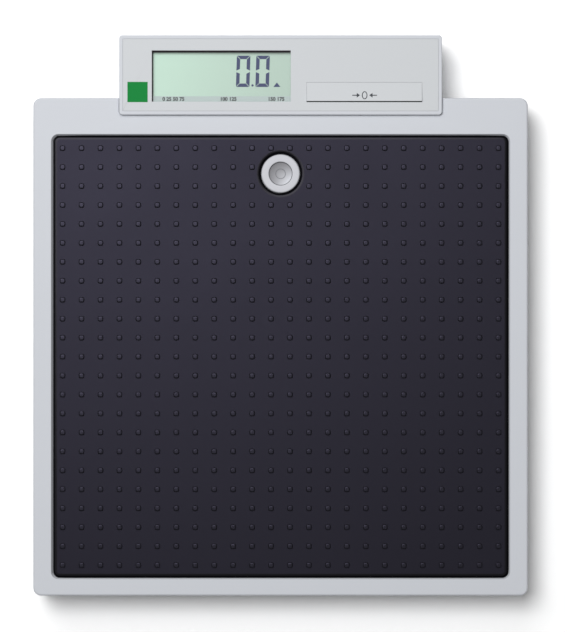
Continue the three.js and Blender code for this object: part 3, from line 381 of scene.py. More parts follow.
def finish_named(name):
    """The finish of that name, made the first time that it is asked for."""
    if name in bpy.data.materials:
        return bpy.data.materials[name]
    shell, mat = settings_of("scale_shell"), settings_of("scale_mat")
    level, display = settings_of("scale_level"), settings_of("scale_display")
    foot = settings_of("scale_foot")
    # A moulded recipe gives the colour, roughness, grain and relief, and where they differ from
    # the maker's own the mottle, cloud, specular level and tint of the shine. Sizes are in mm
    recipes = {
        # ABS from a spark-eroded mould: a satin skin with a fine, even sparkle
        "abs_shell": (moulded, shell.shell, 0.6, shell.grain, 0.012, 0.012, 35, 0.4),
        # Polycarbonate sheet, back printed: smoother than the shell and a little darker
        "polycarbonate_panel": (moulded, shell.panel, 0.55, 0.5, 0.004, 0.008, 35, 0.4),
        # ABS from a coarser mould: the tray's grain shows as a dull, pebbled surface
        "abs_tray": (moulded, shell.tray, 0.6, 1.1, 0.035, 0.03),
        # Thermoplastic rubber sheet: nearly black, with a wide, faintly violet shine
        "rubber_mat": (moulded, mat.rubber, 0.46, 0.6, 0.004, 0.05, 60, 0.72, mat.sheen),
        # The same rubber where shoes polish it: a stronger and narrower shine
        "rubber_worn": (moulded, mat.worn, 0.38, 0.6, 0.003, 0.08, 25, 0.8, mat.sheen),
        # The mat's round border, polished in the mould: it mirrors the light beside it
        "rubber_border": (moulded, mat.rubber, 0.3, 0.6, 0.002, 0.05, 60, 0.5, mat.border_sheen),
        # The mat's cut side and its flange in the groove: rough, with no shine
        "rubber_side": (moulded, linear(0x0E0E12), 0.9, 0.6, 0.01, 0.1, 20, 0.1),
        # Moulded natural rubber: soft black with a chalky bloom
        "rubber_foot": (moulded, foot.rubber, 0.82, 0.9, 0.03, 0.15, 8),
        # Satin ABS: white with a soft, even shine
        "abs_bezel": (moulded, level.ring, 0.5, 0.9, 0.002, 0.01, 35, 0.3),
        # Dish behind clear fluid, with painted shade: darkest at the upper left, next to the light,
        # and lighter towards the lower right
        "level_dish": (
            graded, level.dish_painted_shade, level.dish, middle_of("level_vial"), (1, -1, 0), 7, 3, 0.5),
        # Screen-printed ring: dull grey ink
        "printed_mark": (moulded, level.mark, 0.6, 0.4, 0.002, 0.05),
        # Cast acrylic: clear, with a soft shine
        "acrylic_pane": (clear, linear(0xEEF2F0), 0.3, 0.035),
        # Near-black strip along the window's rear and left sides, matt like foam: painted shadow of
        # the window's walls
        "foam_seal": (moulded, linear(0x2E282C), 0.9, 0.5, 0.03, 0.2),
        # Reflective polariser film: pale green with a fine silk grain, with painted shade that
        # darkens it towards the right and painted shadow beside the window's rear and left walls
        "polariser_film": (
            graded, display.film, display.film_right_painted_shade, middle_of("lcd_glass"), (1, -0.4, 0), 46, 1,
            0.6, painted_film_shade()),
        # Liquid crystal segments: blue-grey, matt under the film
        "crystal_ink": (moulded, display.ink, 0.5, 0.5, 0.002, 0.05, 35, 0.1),
        # Screen-printed strip on the film
        "printed_strip": (moulded, display.strip, 0.5, 0.4, 0.003, 0.02),
        # Screen-printed lettering ink: thin and matt
        "printed_ink": (moulded, display.print_ink, 0.6, 0.4, 0.002, 0.06),
        # The same ink on the key, printed thinner: a little paler
        "sign_ink": (moulded, display.sign_ink, 0.6, 0.4, 0.002, 0.06),
        # Laminated label: even green under a clear film
        "label_film": (moulded, display.label, 0.6, 0.6, 0.003, 0.03, 35, 0.2),
        # Zinc plated steel, turned: bright grey with fine rings
        "zinc_turned": (metal, foot.zinc, 0.34, (1, 1, 8), 0.5, 0.006),
        # Zinc plated sheet steel: rolling marks along X
        "zinc_sheet": (metal, foot.zinc, 0.42, (0.06, 1, 1), 0.6, 0.006),
        # Milled aluminium: cutter lines across the bar
        "aluminium_milled": (metal, foot.aluminium, 0.38, (1, 0.08, 1), 0.5, 0.01),
        # PVC sleeve shrunk on a steel can: dark and glossy
        "sleeve_pvc": (moulded, linear(0x3C4048), 0.3, 1.0, 0.006, 0.08),
        # Extruded PVC: dull grey
        "sheath_pvc": (moulded, linear(0x9A9A9A), 0.55, 0.8, 0.01, 0.05),
        # White ABS frame
        "abs_carrier": (moulded, linear(0xE0E0DC), 0.5, 0.8, 0.01, 0.02),
        # Moulded epoxy: dull black
        "epoxy_chip": (moulded, linear(0x1C1C1E), 0.55, 0.4, 0.01, 0.1),
        # Layered silicone strip: matt black
        "silicone_strip": (moulded, linear(0x2A2A2A), 0.8, 0.4, 0.01, 0.2),
        # Solder mask over copper tracks, drawn at 2 mm so that they show
        "solder_mask": (tracks, linear(0x1F5A38), linear(0x2E7A4C), 2),
    }
    maker, *values = recipes[name]
    return maker(name, *values)


def grid_faces(rows, columns, wrap_rows=False):
    """Four-sided faces between the rows of a grid of points, whose columns close on themselves.

    A face joins row r and r + 1 at column c and c + 1. With wrap_rows the last row joins the first.
    """
    steps = rows if wrap_rows else rows - 1
    row, column = np.meshgrid(np.arange(steps), np.arange(columns), indexing="ij")
    row_after, column_after = (row + 1) % rows, (column + 1) % columns
    corners = [row * columns + column, row * columns + column_after,
               row_after * columns + column_after, row_after * columns + column]
    return np.stack(corners, axis=-1).reshape(-1, 4)


def spots_of(mesh):
    """The mesh's points as rows of x, y and z."""
    spots = np.empty(len(mesh.vertices) * 3, dtype=np.float32)
    mesh.vertices.foreach_get("co", spots)
    return spots.reshape(-1, 3)


def publish(obj, body, stands_for=()):
    """Adds a finished object to the scene, lets it ride on a body and names what it stands for."""
    bpy.context.scene.collection.objects.link(obj)
    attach(obj, body)
    if stands_for:
        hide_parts(*stands_for)


def cleaned(mesh, from_cad=False):
    """Merges a mesh's doubles and smooths it.

    A copy of a CAD node gets its flat faces whole, and any other mesh is turned outwards.
    """
    work = bmesh.new()
    work.from_mesh(mesh)
    bmesh.ops.remove_doubles(work, verts=work.verts, dist=0.001 * MM)
    if from_cad:
        bmesh.ops.dissolve_limit(
            work, angle_limit=math.radians(0.5), verts=work.verts, edges=work.edges)
    else:
        bmesh.ops.recalc_face_normals(work, faces=work.faces)
    for face in work.faces:
        face.smooth = True
    work.to_mesh(mesh)
    work.free()


def surface(name, finishes, points, faces, body, stands_for=(), sharp=35, finish_of=None):
    """Puts points and faces into a mesh with its seams and poles closed."""
    mesh = bpy.data.meshes.new(name)
    mesh.from_pydata(np.reshape(points, (-1, 3)).tolist(), [], [list(f) for f in faces])
    for finish in finishes:
        mesh.materials.append(finish_named(finish))
    if finish_of is not None:
        mesh.polygons.foreach_set("material_index", np.asarray(finish_of, dtype=np.int32))
    cleaned(mesh)
    mesh.set_sharp_from_angle(angle=math.radians(sharp))
    publish(bpy.data.objects.new(name, mesh), body, stands_for)


def skin(name, finish, points, body, stands_for=(), sharp=35, closed=False):
    """A surface over a grid of points. A closed one joins its last row to its first."""
    faces = grid_faces(*points.shape[:2], wrap_rows=closed)
    surface(name, [finish], points, faces, body, stands_for, sharp)


def softened(node, finish, edge, body="root", limit=40, pushes=()):
    """A copy of a CAD node with a finish and rounded edges.

    Each push is an axis, a place on it, a shift and a reach: what lies within the reach of that
    place moves along the axis by the shift.
    """
    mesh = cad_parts[node].data.copy()
    cleaned(mesh, from_cad=True)
    spots = spots_of(mesh)
    for axis, place, shift, reach in pushes:
        spots[abs(spots[:, axis] - place) < reach, axis] += shift
    mesh.vertices.foreach_set("co", spots.ravel())
    mesh.materials.clear()
    mesh.materials.append(finish_named(finish))
    mesh.set_sharp_from_angle(angle=math.radians(limit))
    obj = bpy.data.objects.new(f"{node}_finished", mesh)
    edges = obj.modifiers.new("Rounded edges", "BEVEL")
    edges.width = edge
    edges.segments = 3
    edges.limit_method = "ANGLE"
    edges.angle_limit = math.radians(limit)
    edges.use_clamp_overlap = False
    normals = obj.modifiers.new("Flat faces stay flat", "WEIGHTED_NORMAL")
    normals.keep_sharp = True
    publish(obj, body, (node,))


def coat(nodes, finish):
    """Puts a finish in the material slots of CAD nodes."""
    for name in nodes:
        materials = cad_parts[name].data.materials
        if not len(materials):
            materials.append(finish_named(finish))
        for index in range(len(materials)):
            materials[index] = finish_named(finish)


def middle_of(node):
    """The middle of a CAD node's box."""
    low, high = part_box(node)
    return (low + high) / 2


def disc_of(node):
    """The middle, the radius, and the lowest and highest z of a round CAD node."""
    low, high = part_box(node)
    return (low + high) / 2, (high.x - low.x) / 2, low.z, high.z


def full_turn(count):
    """Angles at even steps once round."""
    return np.linspace(0, 2 * np.pi, count, endpoint=False)


def round_about(centre, profile, sides=64):
    """Turns a profile of [radius, height] about an upright line.

    A point at angle a is centre + (radius cos a, radius sin a, height).
    """
    profile = np.asarray(profile, dtype=float)
    angle = full_turn(sides)
    x = centre[0] + profile[:, :1] * np.cos(angle)
    y = centre[1] + profile[:, :1] * np.sin(angle)
    z = np.broadcast_to(profile[:, 1:], x.shape)
    return np.stack([x, y, z], axis=-1)


def quarter(radius_at, height_at, radius, start, end, steps=5):
    """Part of a circle in a profile: [radius_at + r cos t, height_at + r sin t], degrees."""
    turn = np.radians(np.linspace(start, end, steps))
    return np.stack([radius_at + radius * np.cos(turn), height_at + radius * np.sin(turn)], axis=-1)


def plates(outlines, bottom, top):
    """Thin plates from outlines in plan, each with its own floor, roof and walls.

    bottom and top give the height of a point of the plan, as functions of x and y.
    """
    points, faces = [], []
    for outline in outlines:
        plan = np.asarray(outline, dtype=float)
        count, first = len(plan), sum(len(part) for part in points)
        for level in (bottom, top):
            height = level(plan[:, 0], plan[:, 1])
            points.append(np.column_stack([plan, height]))
        low, high = np.arange(count) + first, np.arange(count) + first + count
        faces.append(low[::-1].tolist())
        faces.append(high.tolist())
        walls = np.column_stack([low, np.roll(low, -1), np.roll(high, -1), high])
        faces.extend(walls.tolist())
    return np.concatenate(points), faces


def printed(name, finish, outlines, bottom, top, body="root"):
    """Thin plates as one piece, such as ink on a film."""
    points, faces = plates(outlines, bottom, top)
    surface(name, [finish], points, faces, body, sharp=20)


def flat(height):
    """A height that is the same all over the plan."""
    return lambda x, y: np.full_like(x, height)


def rounded_outline(low, high, radius, corner_steps, side_steps):
    """A rectangle with round corners, as points along its sides and its quarter circles."""
    centres = [(high[0] - radius, high[1] - radius), (low[0] + radius, high[1] - radius),
               (low[0] + radius, low[1] + radius), (high[0] - radius, low[1] + radius)]
    arcs = []
    for turn, (x, y) in enumerate(centres):
        angle = np.linspace(turn, turn + 1, corner_steps) * np.pi / 2
        arcs.append(np.column_stack([x + radius * np.cos(angle), y + radius * np.sin(angle)]))
    parts = []
    for arc, after in zip(arcs, arcs[1:] + arcs[:1]):
        share = np.linspace(0, 1, side_steps, endpoint=False)[1:, None]
        parts += [arc, arc[-1] * (1 - share) + after[0] * share]
    return np.concatenate(parts)


def seen_from(centre, outline, angles):
    """Points of a closed outline at given angles as seen from a centre inside it."""
    offset = outline - centre
    around = np.arctan2(offset[:, 1], offset[:, 0])
    order = np.argsort(around)
    distance = np.interp(
        angles, around[order], np.hypot(*offset.T)[order], period=2 * np.pi)
    return centre + distance[:, None] * np.column_stack([np.cos(angles), np.sin(angles)])


class SCALE_OT_shells(bpy.types.Operator):
    """Rounds the edges of the housings and gives them their moulded finishes."""

    bl_idname = "scale.shells"
    bl_label = "Housings"

    def execute(self, context):
        shell = context.scene.scale_shell
        front = [(1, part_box("head_cover")[0].y, -shell.head_fit, 0.05 * MM)]
        low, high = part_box("face_panel")
        near, fit = 0.6 * MM, shell.panel_fit
        all_round = [(0, low.x, -fit, near), (0, high.x, fit, near),
                     (1, low.y, -fit, near), (1, high.y, fit, near)]
        softened("top_frame", "abs_shell", shell.shell_edge)
        softened("head_base", "abs_shell", shell.shell_edge, pushes=front)
        softened("head_cover", "abs_shell", shell.panel_edge, pushes=front)
        softened("face_panel", "polycarbonate_panel", shell.panel_edge,
                 pushes=all_round)
        softened("base_tray", "abs_tray", shell.shell_edge)
        softened("battery_lid", "abs_tray", shell.shell_edge, body="battery_lid")
        return {"FINISHED"}


class SCALE_OT_mat(bpy.types.Operator):
    """Makes the rubber mat: a sheet with a round edge, a hole for the level, and rows of studs."""

    bl_idname = "scale.mat"
    bl_label = "Standing mat"
    FINISHES = ["rubber_mat", "rubber_worn", "rubber_border", "rubber_side"]

    def sheet(self, mat, low, high, level, hole):
        """Rings of points at fixed angles about the level, from its hole out to the mat's edge.

        Each ring comes with the finish of the faces from it to the next one. The hole's rings are
        circles and the rest are round-cornered rectangles, so the flat top is the straight join
        of the last circle and the first rectangle. The flange's edge rises with the lip beside
        it, except at the left.
        """
        sheet, border, side = (
            self.FINISHES.index(f"rubber_{name}") for name in ("mat", "border", "side"))
        top, ledge = low.z + mat.thickness, low.z + mat.flange
        plan_low = np.array(low[:2]) - [mat.left_swell, mat.swell]
        plan_high = np.array(high[:2]) + [mat.swell, mat.swell]
        corner, brink, gap = mat.corner, 0.2 * MM, 0.2 * MM
        arcs = rounded_outline(plan_low, plan_high, corner, 14, 1) - level
        angles = np.sort(np.concatenate([
            np.linspace(-np.pi, np.pi, 300, endpoint=False), np.arctan2(arcs[:, 1], arcs[:, 0])]))
        circle = np.column_stack([np.cos(angles), np.sin(angles)])
        width = mat.edge * math.sin(math.radians(mat.edge_turn))
        inside, below = hole - mat.hole_reach, top - mat.edge
        *rise, last = quarter(hole + width, below, mat.edge, 90 + mat.edge_turn, 90).tolist()
        inner = [(inside, low.z, side), (inside, ledge, side), (hole, ledge, side)]
        inner += [(*point, border) for point in rise]
        inner += [(*last, sheet), (hole + width + brink, top, sheet)]
        rings = [np.column_stack([level + r * circle, np.full(len(angles), z)])
                 for r, z, _ in inner]
        *fall, last = quarter(-mat.groove, below, mat.edge, 90, 90 - mat.edge_turn, 7)
        outer = [(-mat.groove - width - brink, top, sheet)]
        outer += [(out - width, z, border) for out, z in fall]
        outer += [(last[0] - width, last[1], side), (-mat.groove, ledge, side)]
        outlines = [(plan_low - out, plan_high + out, out, z, 0) for out, z, _ in outer]
        box_low, box_high, reach = np.array(low[:2]), np.array(high[:2]), mat.flange_reach
        lip, climb = reach + gap, mat.climb * mat.lip_slope - gap
        outlines += [
            (box_low - reach, box_high + reach, reach, ledge, 0),
            (box_low - lip - [0, mat.climb], box_high + lip + mat.climb, lip, ledge, climb),
            (box_low - reach, box_high + reach, reach, low.z, 0)]
        for near, far, out, z, rise in outlines:
            plan = rounded_outline(near, far, max(corner + out, 0.6 * MM), 200, 900)
            plan = seen_from(level, plan, angles)
            past_left = np.clip((plan[:, 0] - near[0]) / corner, 0, 1)
            rings.append(np.column_stack([plan, z + rise * past_left]))
        finishes = [finish for _, _, finish in inner + outer] + [side] * 3
        return np.array(rings), finishes

    def studs(self, mat, low, high, level, hole, top):
        """Flat-topped studs, squarish in plan, and which of their faces are worn.

        A ring at angle a lies at radius / max(|cos a|, |sin a|) ** 0.5. Studs less than a margin
        from the hole are left out.
        """
        near_hole, worn_from = hole + 2.6 * MM, 3
        count = [int((b - a - 2 * mat.stud_margin) / mat.pitch) + 1
                 for a, b in zip(low[:2], high[:2])]
        middle = [(a + b) / 2 for a, b in zip(low[:2], high[:2])]
        across, along = [
            m + (np.arange(n) - (n - 1) / 2) * mat.pitch for m, n in zip(middle, count)]
        x, y = [grid.ravel() for grid in np.meshgrid(across, along)]
        free = np.hypot(x - level[0], y - level[1]) > near_hole
        base, height = mat.stud_base / 2, high.z - top
        rings = np.array([
            [1, -0.17], [1, 0], [0.9, 0.5], [0.8, 0.87], [0.68, 0.985], [0.45, 1], [0, 1],
        ]) * [base, height]
        angle = full_turn(16)
        reach = 1 / np.maximum(abs(np.cos(angle)), abs(np.sin(angle))) ** 0.5
        unit = np.stack([
            rings[:, :1] * reach * np.cos(angle), rings[:, :1] * reach * np.sin(angle),
            np.broadcast_to(rings[:, 1:], (len(rings), len(angle)))], axis=-1)
        places = np.column_stack([x[free], y[free], np.full(free.sum(), top)])
        points = places[:, None, None, :] + unit
        faces = grid_faces(len(rings), len(angle))
        shift = np.arange(len(places))[:, None, None] * unit.shape[0] * unit.shape[1]
        worn = np.arange(len(faces)) // len(angle) >= worn_from
        return points, (faces + shift).reshape(-1, 4), np.tile(worn, len(places))

    def execute(self, context):
        mat = context.scene.scale_mat
        low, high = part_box("standing_mat")
        centre, bezel, _, _ = disc_of("level_bezel")
        level, hole = np.array(centre[:2]), bezel + mat.hole_gap
        rings, finishes = self.sheet(mat, low, high, level, hole)
        sheet_faces = grid_faces(*rings.shape[:2], wrap_rows=True)
        top = low.z + mat.thickness
        studs, stud_faces, worn = self.studs(mat, low, high, level, hole, top)
        points = np.concatenate([rings.reshape(-1, 3), studs.reshape(-1, 3)])
        faces = np.concatenate([sheet_faces, stud_faces + rings.shape[0] * rings.shape[1]])
        finish_of = np.concatenate([
            np.repeat(finishes, rings.shape[1]), worn * self.FINISHES.index("rubber_worn")])
        surface("standing_mat_moulded", self.FINISHES, points, faces, "root",
                ("standing_mat",), sharp=50, finish_of=finish_of)
        return {"FINISHED"}


class SCALE_OT_level(bpy.types.Operator):
    """Makes the spirit level: bezel, hollow dish, target ring and cup."""

    bl_idname = "scale.level"
    bl_label = "Spirit level"

    def execute(self, context):
        level = context.scene.scale_level
        centre, outer, bottom, top = disc_of("level_bezel")
        rim, throat, gap = 1.1 * MM, 0.6 * MM, 0.3 * MM
        inner = disc_of("level_vial")[1] + gap
        profile = np.concatenate([
            [(inner, bottom), (outer, bottom)],
            quarter(outer - rim, top - rim, rim, 0, 90, 7),
            quarter(inner + throat, top - throat, throat, 90, 180, 7),
        ])
        points = round_about(centre, profile, 96)
        skin("level_bezel_moulded", "abs_bezel", points, "root",
             ("level_bezel",), closed=True)
        self.dish(level, centre)
        softened("level_cup", "abs_tray", edge=0.2 * MM, limit=50)
        return {"FINISHED"}

    def dish(self, level, centre):
        """A round block with a hollow top, whose height is rim - depth (1 - (r / R) ** 2).

        The target ring lies on it and slopes inwards and down as the hollow does there.
        """
        _, radius, bottom, top = disc_of("level_vial")
        rim = top - level.dish_drop
        share = np.linspace(1, 0, 14)
        hollow = np.column_stack([radius * share, rim - level.dish_depth * (1 - share ** 2)])
        profile = np.concatenate([[(0, bottom), (radius, bottom)], hollow])
        points = round_about(centre, profile, 72)
        skin("level_dish_filled", "level_dish", points, "root", ("level_vial",))
        ring, half = level.target / 2, level.target_line / 2
        on_dish = rim - level.dish_depth * (1 - (ring / radius) ** 2)
        less, more = 0.1 * MM, 0.16 * MM
        line = [(ring + half, on_dish - less), (ring + half, on_dish + more),
                (ring - half, on_dish + less), (ring - half, on_dish - more)]
        points = round_about(centre, line, 72)
        skin("level_target_ring", "printed_mark", points, "root", closed=True)


class SCALE_OT_display(bpy.types.Operator):
    """Makes the readout: film, digits, printed strip, clear pane and square label."""

    bl_idname = "scale.display"
    bl_label = "Readout"

    def digit_zero(self, display, left, front):
        """The six outer bars of a figure nought, each a strip cut off slanting at both ends.

        The figure leans: x grows by a share of the height above its foot.
        """
        w, h, t, g = display.digit_width, display.digit_height, display.bar, display.bar_gap
        upper, lower = h / 2 + display.waist, h / 2 - display.waist
        slant, lean = display.waist_slant, 0.031
        bars = [
            [(g, h), (w - g, h), (w - t - g, h - t), (t + g, h - t)],
            [(g, 0), (w - g, 0), (w - t - g, t), (t + g, t)],
            [(0, h - g), (t, h - t - g), (t, upper + slant), (0, upper)],
            [(w, h - g), (w - t, h - t - g), (w - t, upper + slant), (w, upper)],
            [(0, g), (t, t + g), (t, lower - slant), (0, lower)],
            [(w, g), (w - t, t + g), (w - t, lower - slant), (w, lower)],
        ]
        return [[(left + x + lean * y, front + y) for x, y in bar] for bar in bars]

    def seal(self, display, left, front, right, rear):
        """A near-black strip between the pane and the cover, along two of the window's sides, the
        rear and the left: painted shadow of the window's walls.
        """
        side, back, under = left + display.wall_shadow_side, rear - display.wall_shadow_rear, 1 * MM
        outline = [(left - under, front - under), (side, front - under), (side, back),
                   (right + under, back), (right + under, rear + under),
                   (left - under, rear + under)]
        pane, clearance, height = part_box("display_window")[1].z, 0.03 * MM, 0.27 * MM
        printed("window_wall_shadow", "foam_seal", [outline], flat(pane + clearance),
                flat(pane + height))

    def execute(self, context):
        display = context.scene.scale_display
        low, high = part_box("lcd_glass")
        top = high.z
        softened("lcd_glass", "polariser_film", edge=0.1 * MM)
        softened("display_window", "acrylic_pane", edge=0.1 * MM)
        softened("green_label", "label_film", edge=0.06 * MM)
        softened("lcd_carrier", "abs_carrier", edge=0.3 * MM)
        left, front, right, rear = window_sides()
        self.seal(display, left, front, right, rear)
        foot, dot, unit = front + 9.7 * MM, right - 24.8 * MM, right - 9.0 * MM
        outlines = []
        for digit in (right - 35.6 * MM, right - 22.95 * MM):
            outlines += self.digit_zero(display, digit, foot)
        angle = full_turn(20)
        dot_radius, dot_lift = 0.75 * MM, 1.0 * MM
        point = np.column_stack([np.cos(angle), np.sin(angle)]) * dot_radius
        outlines.append(point + [dot, foot + dot_lift])
        mark = np.array([(-2.3, 0), (2.3, 0), (0, 2.9)]) * MM
        outlines.append(mark + [unit, foot])
        segment, strip_width, strip_margin = 0.05 * MM, 3.7 * MM, 0.75 * MM
        printed("readout_digits", "crystal_ink", outlines, flat(top - SUNK), flat(top + segment))
        strip_rear = front + strip_width
        strip = [(low.x, low.y), (high.x, low.y), (high.x, strip_rear), (low.x, strip_rear)]
        printed("printed_strip", "printed_strip", [strip], flat(top - SUNK), flat(top + INK))
        groups = (("0 25 50 75", 0.155), ("100 125", 0.55), ("150 175", 0.895))
        for index, (numbers, share) in enumerate(groups):
            self.lettering(f"strip_numbers_{index + 1}", numbers, left + share * (right - left),
                           front + strip_margin, top + SUNK)
        return {"FINISHED"}

    def lettering(self, name, text, x, y, z):
        """Small plain numbers, drawn as flat and slightly bold letters and made a mesh."""
        curve = bpy.data.curves.new(name, "FONT")
        curve.body = text
        curve.size = 3.3 * MM
        curve.offset = 0.14 * MM
        curve.extrude = 0.015 * MM
        curve.align_x = "CENTER"
        helper = bpy.data.objects.new(name, curve)
        bpy.context.scene.collection.objects.link(helper)
        bpy.context.view_layer.update()
        mesh = bpy.data.meshes.new_from_object(helper)
        bpy.data.objects.remove(helper)
        placed = spots_of(mesh) + [x, y, z + curve.extrude]
        mesh.vertices.foreach_set("co", placed.ravel())
        mesh.materials.clear()
        mesh.materials.append(finish_named("printed_ink"))
        publish(bpy.data.objects.new(name, mesh), "root")


class SCALE_OT_key(bpy.types.Operator):
    """Finishes the press key and prints its sign: a nought between two arrows."""

    bl_idname = "scale.key"
    bl_label = "Press key"

    def execute(self, context):
        shell = context.scene.scale_shell
        low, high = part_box("press_key")
        stub, near, fit = 2 * MM, 0.1 * MM, shell.key_fit
        skirt = [(0, low.x + stub, -fit, near), (0, high.x - stub, fit, near),
                 (1, high.y, fit, near), (1, low.y, -shell.key_front_fit, near)]
        softened("press_key", "polycarbonate_panel", edge=0.15 * MM,
                 body="press_key", pushes=skirt)
        coat(["switch_plunger"], "epoxy_chip")
        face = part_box("face_panel")[1].z
        front, rear = low.y, high.y

        def slope(lift):
            """The key's face falls from its front edge to the panel's level at its rear."""
            return lambda x, y: lift + face + (high.z - face) * (rear - y) / (rear - front)

        centre_x, centre_y = 54.5 * MM, 142.8 * MM
        turn = np.linspace(0, 2 * np.pi, 37)
        outer, inner = (1.8 * MM, 2.6 * MM), (1.25 * MM, 2.05 * MM)
        outlines = [
            [(centre_x + half_x * math.cos(t), centre_y + half_y * math.sin(t))
             for (half_x, half_y), t in ((outer, a), (outer, b), (inner, b), (inner, a))]
            for a, b in zip(turn[:-1], turn[1:])]
        shaft = [(4.8, 0.3), (8, 0.3), (8, -0.3), (4.8, -0.3)]
        tip = [(3.0, 0), (5.1, 1.5), (5.1, -1.5)]
        for side in (-1, 1):
            outlines += [[(centre_x + side * x * MM, centre_y + y * MM) for x, y in part]
                         for part in (shaft, tip)]
        printed("key_sign", "sign_ink", outlines, slope(-SUNK), slope(INK), "press_key")
        return {"FINISHED"}


def screw_points(centre, radius, height, cross, depth):
    """The head of a cross-recessed screw, seen from below, as rings of points.

    Its face is a shallow dome. Where the distance from either cross line is under its half width
    and the radius is inside the cross, the face is sunk by the depth, with a soft slope between.
    """
    arm_half, arm_wall, end_wall, dome = 0.13 * cross, 0.05 * cross, 0.08 * cross, 0.22 * height
    reach = np.concatenate([np.linspace(0, 0.95, 16), [1.0, 1.0]])
    angle = full_turn(64)
    x = radius * reach[:, None] * np.cos(angle)
    y = radius * reach[:, None] * np.sin(angle)
    arm = np.minimum(abs(x), abs(y))
    inside = np.clip((arm_half - arm) / arm_wall, 0, 1)
    inside *= np.clip((cross / 2 - np.hypot(x, y)) / end_wall, 0, 1)
    z = -height + dome * reach[:, None] ** 4 + depth * inside
    z[-1] = 0
    return np.stack([centre[0] + x, centre[1] + y, centre[2] + z], axis=-1)


def thread_wave(profile, angle, pitch):
    """A wave from 0 to 1 of the height less the angle's share of the pitch."""
    return abs(((profile[:, 1:] / pitch - angle / (2 * np.pi)) % 1) * 2 - 1)


def draw_in(points, centre, share):
    """Moves points towards an upright line, to a share of their distance from it."""
    for axis in (0, 1):
        points[..., axis] = centre[axis] + (points[..., axis] - centre[axis]) * share


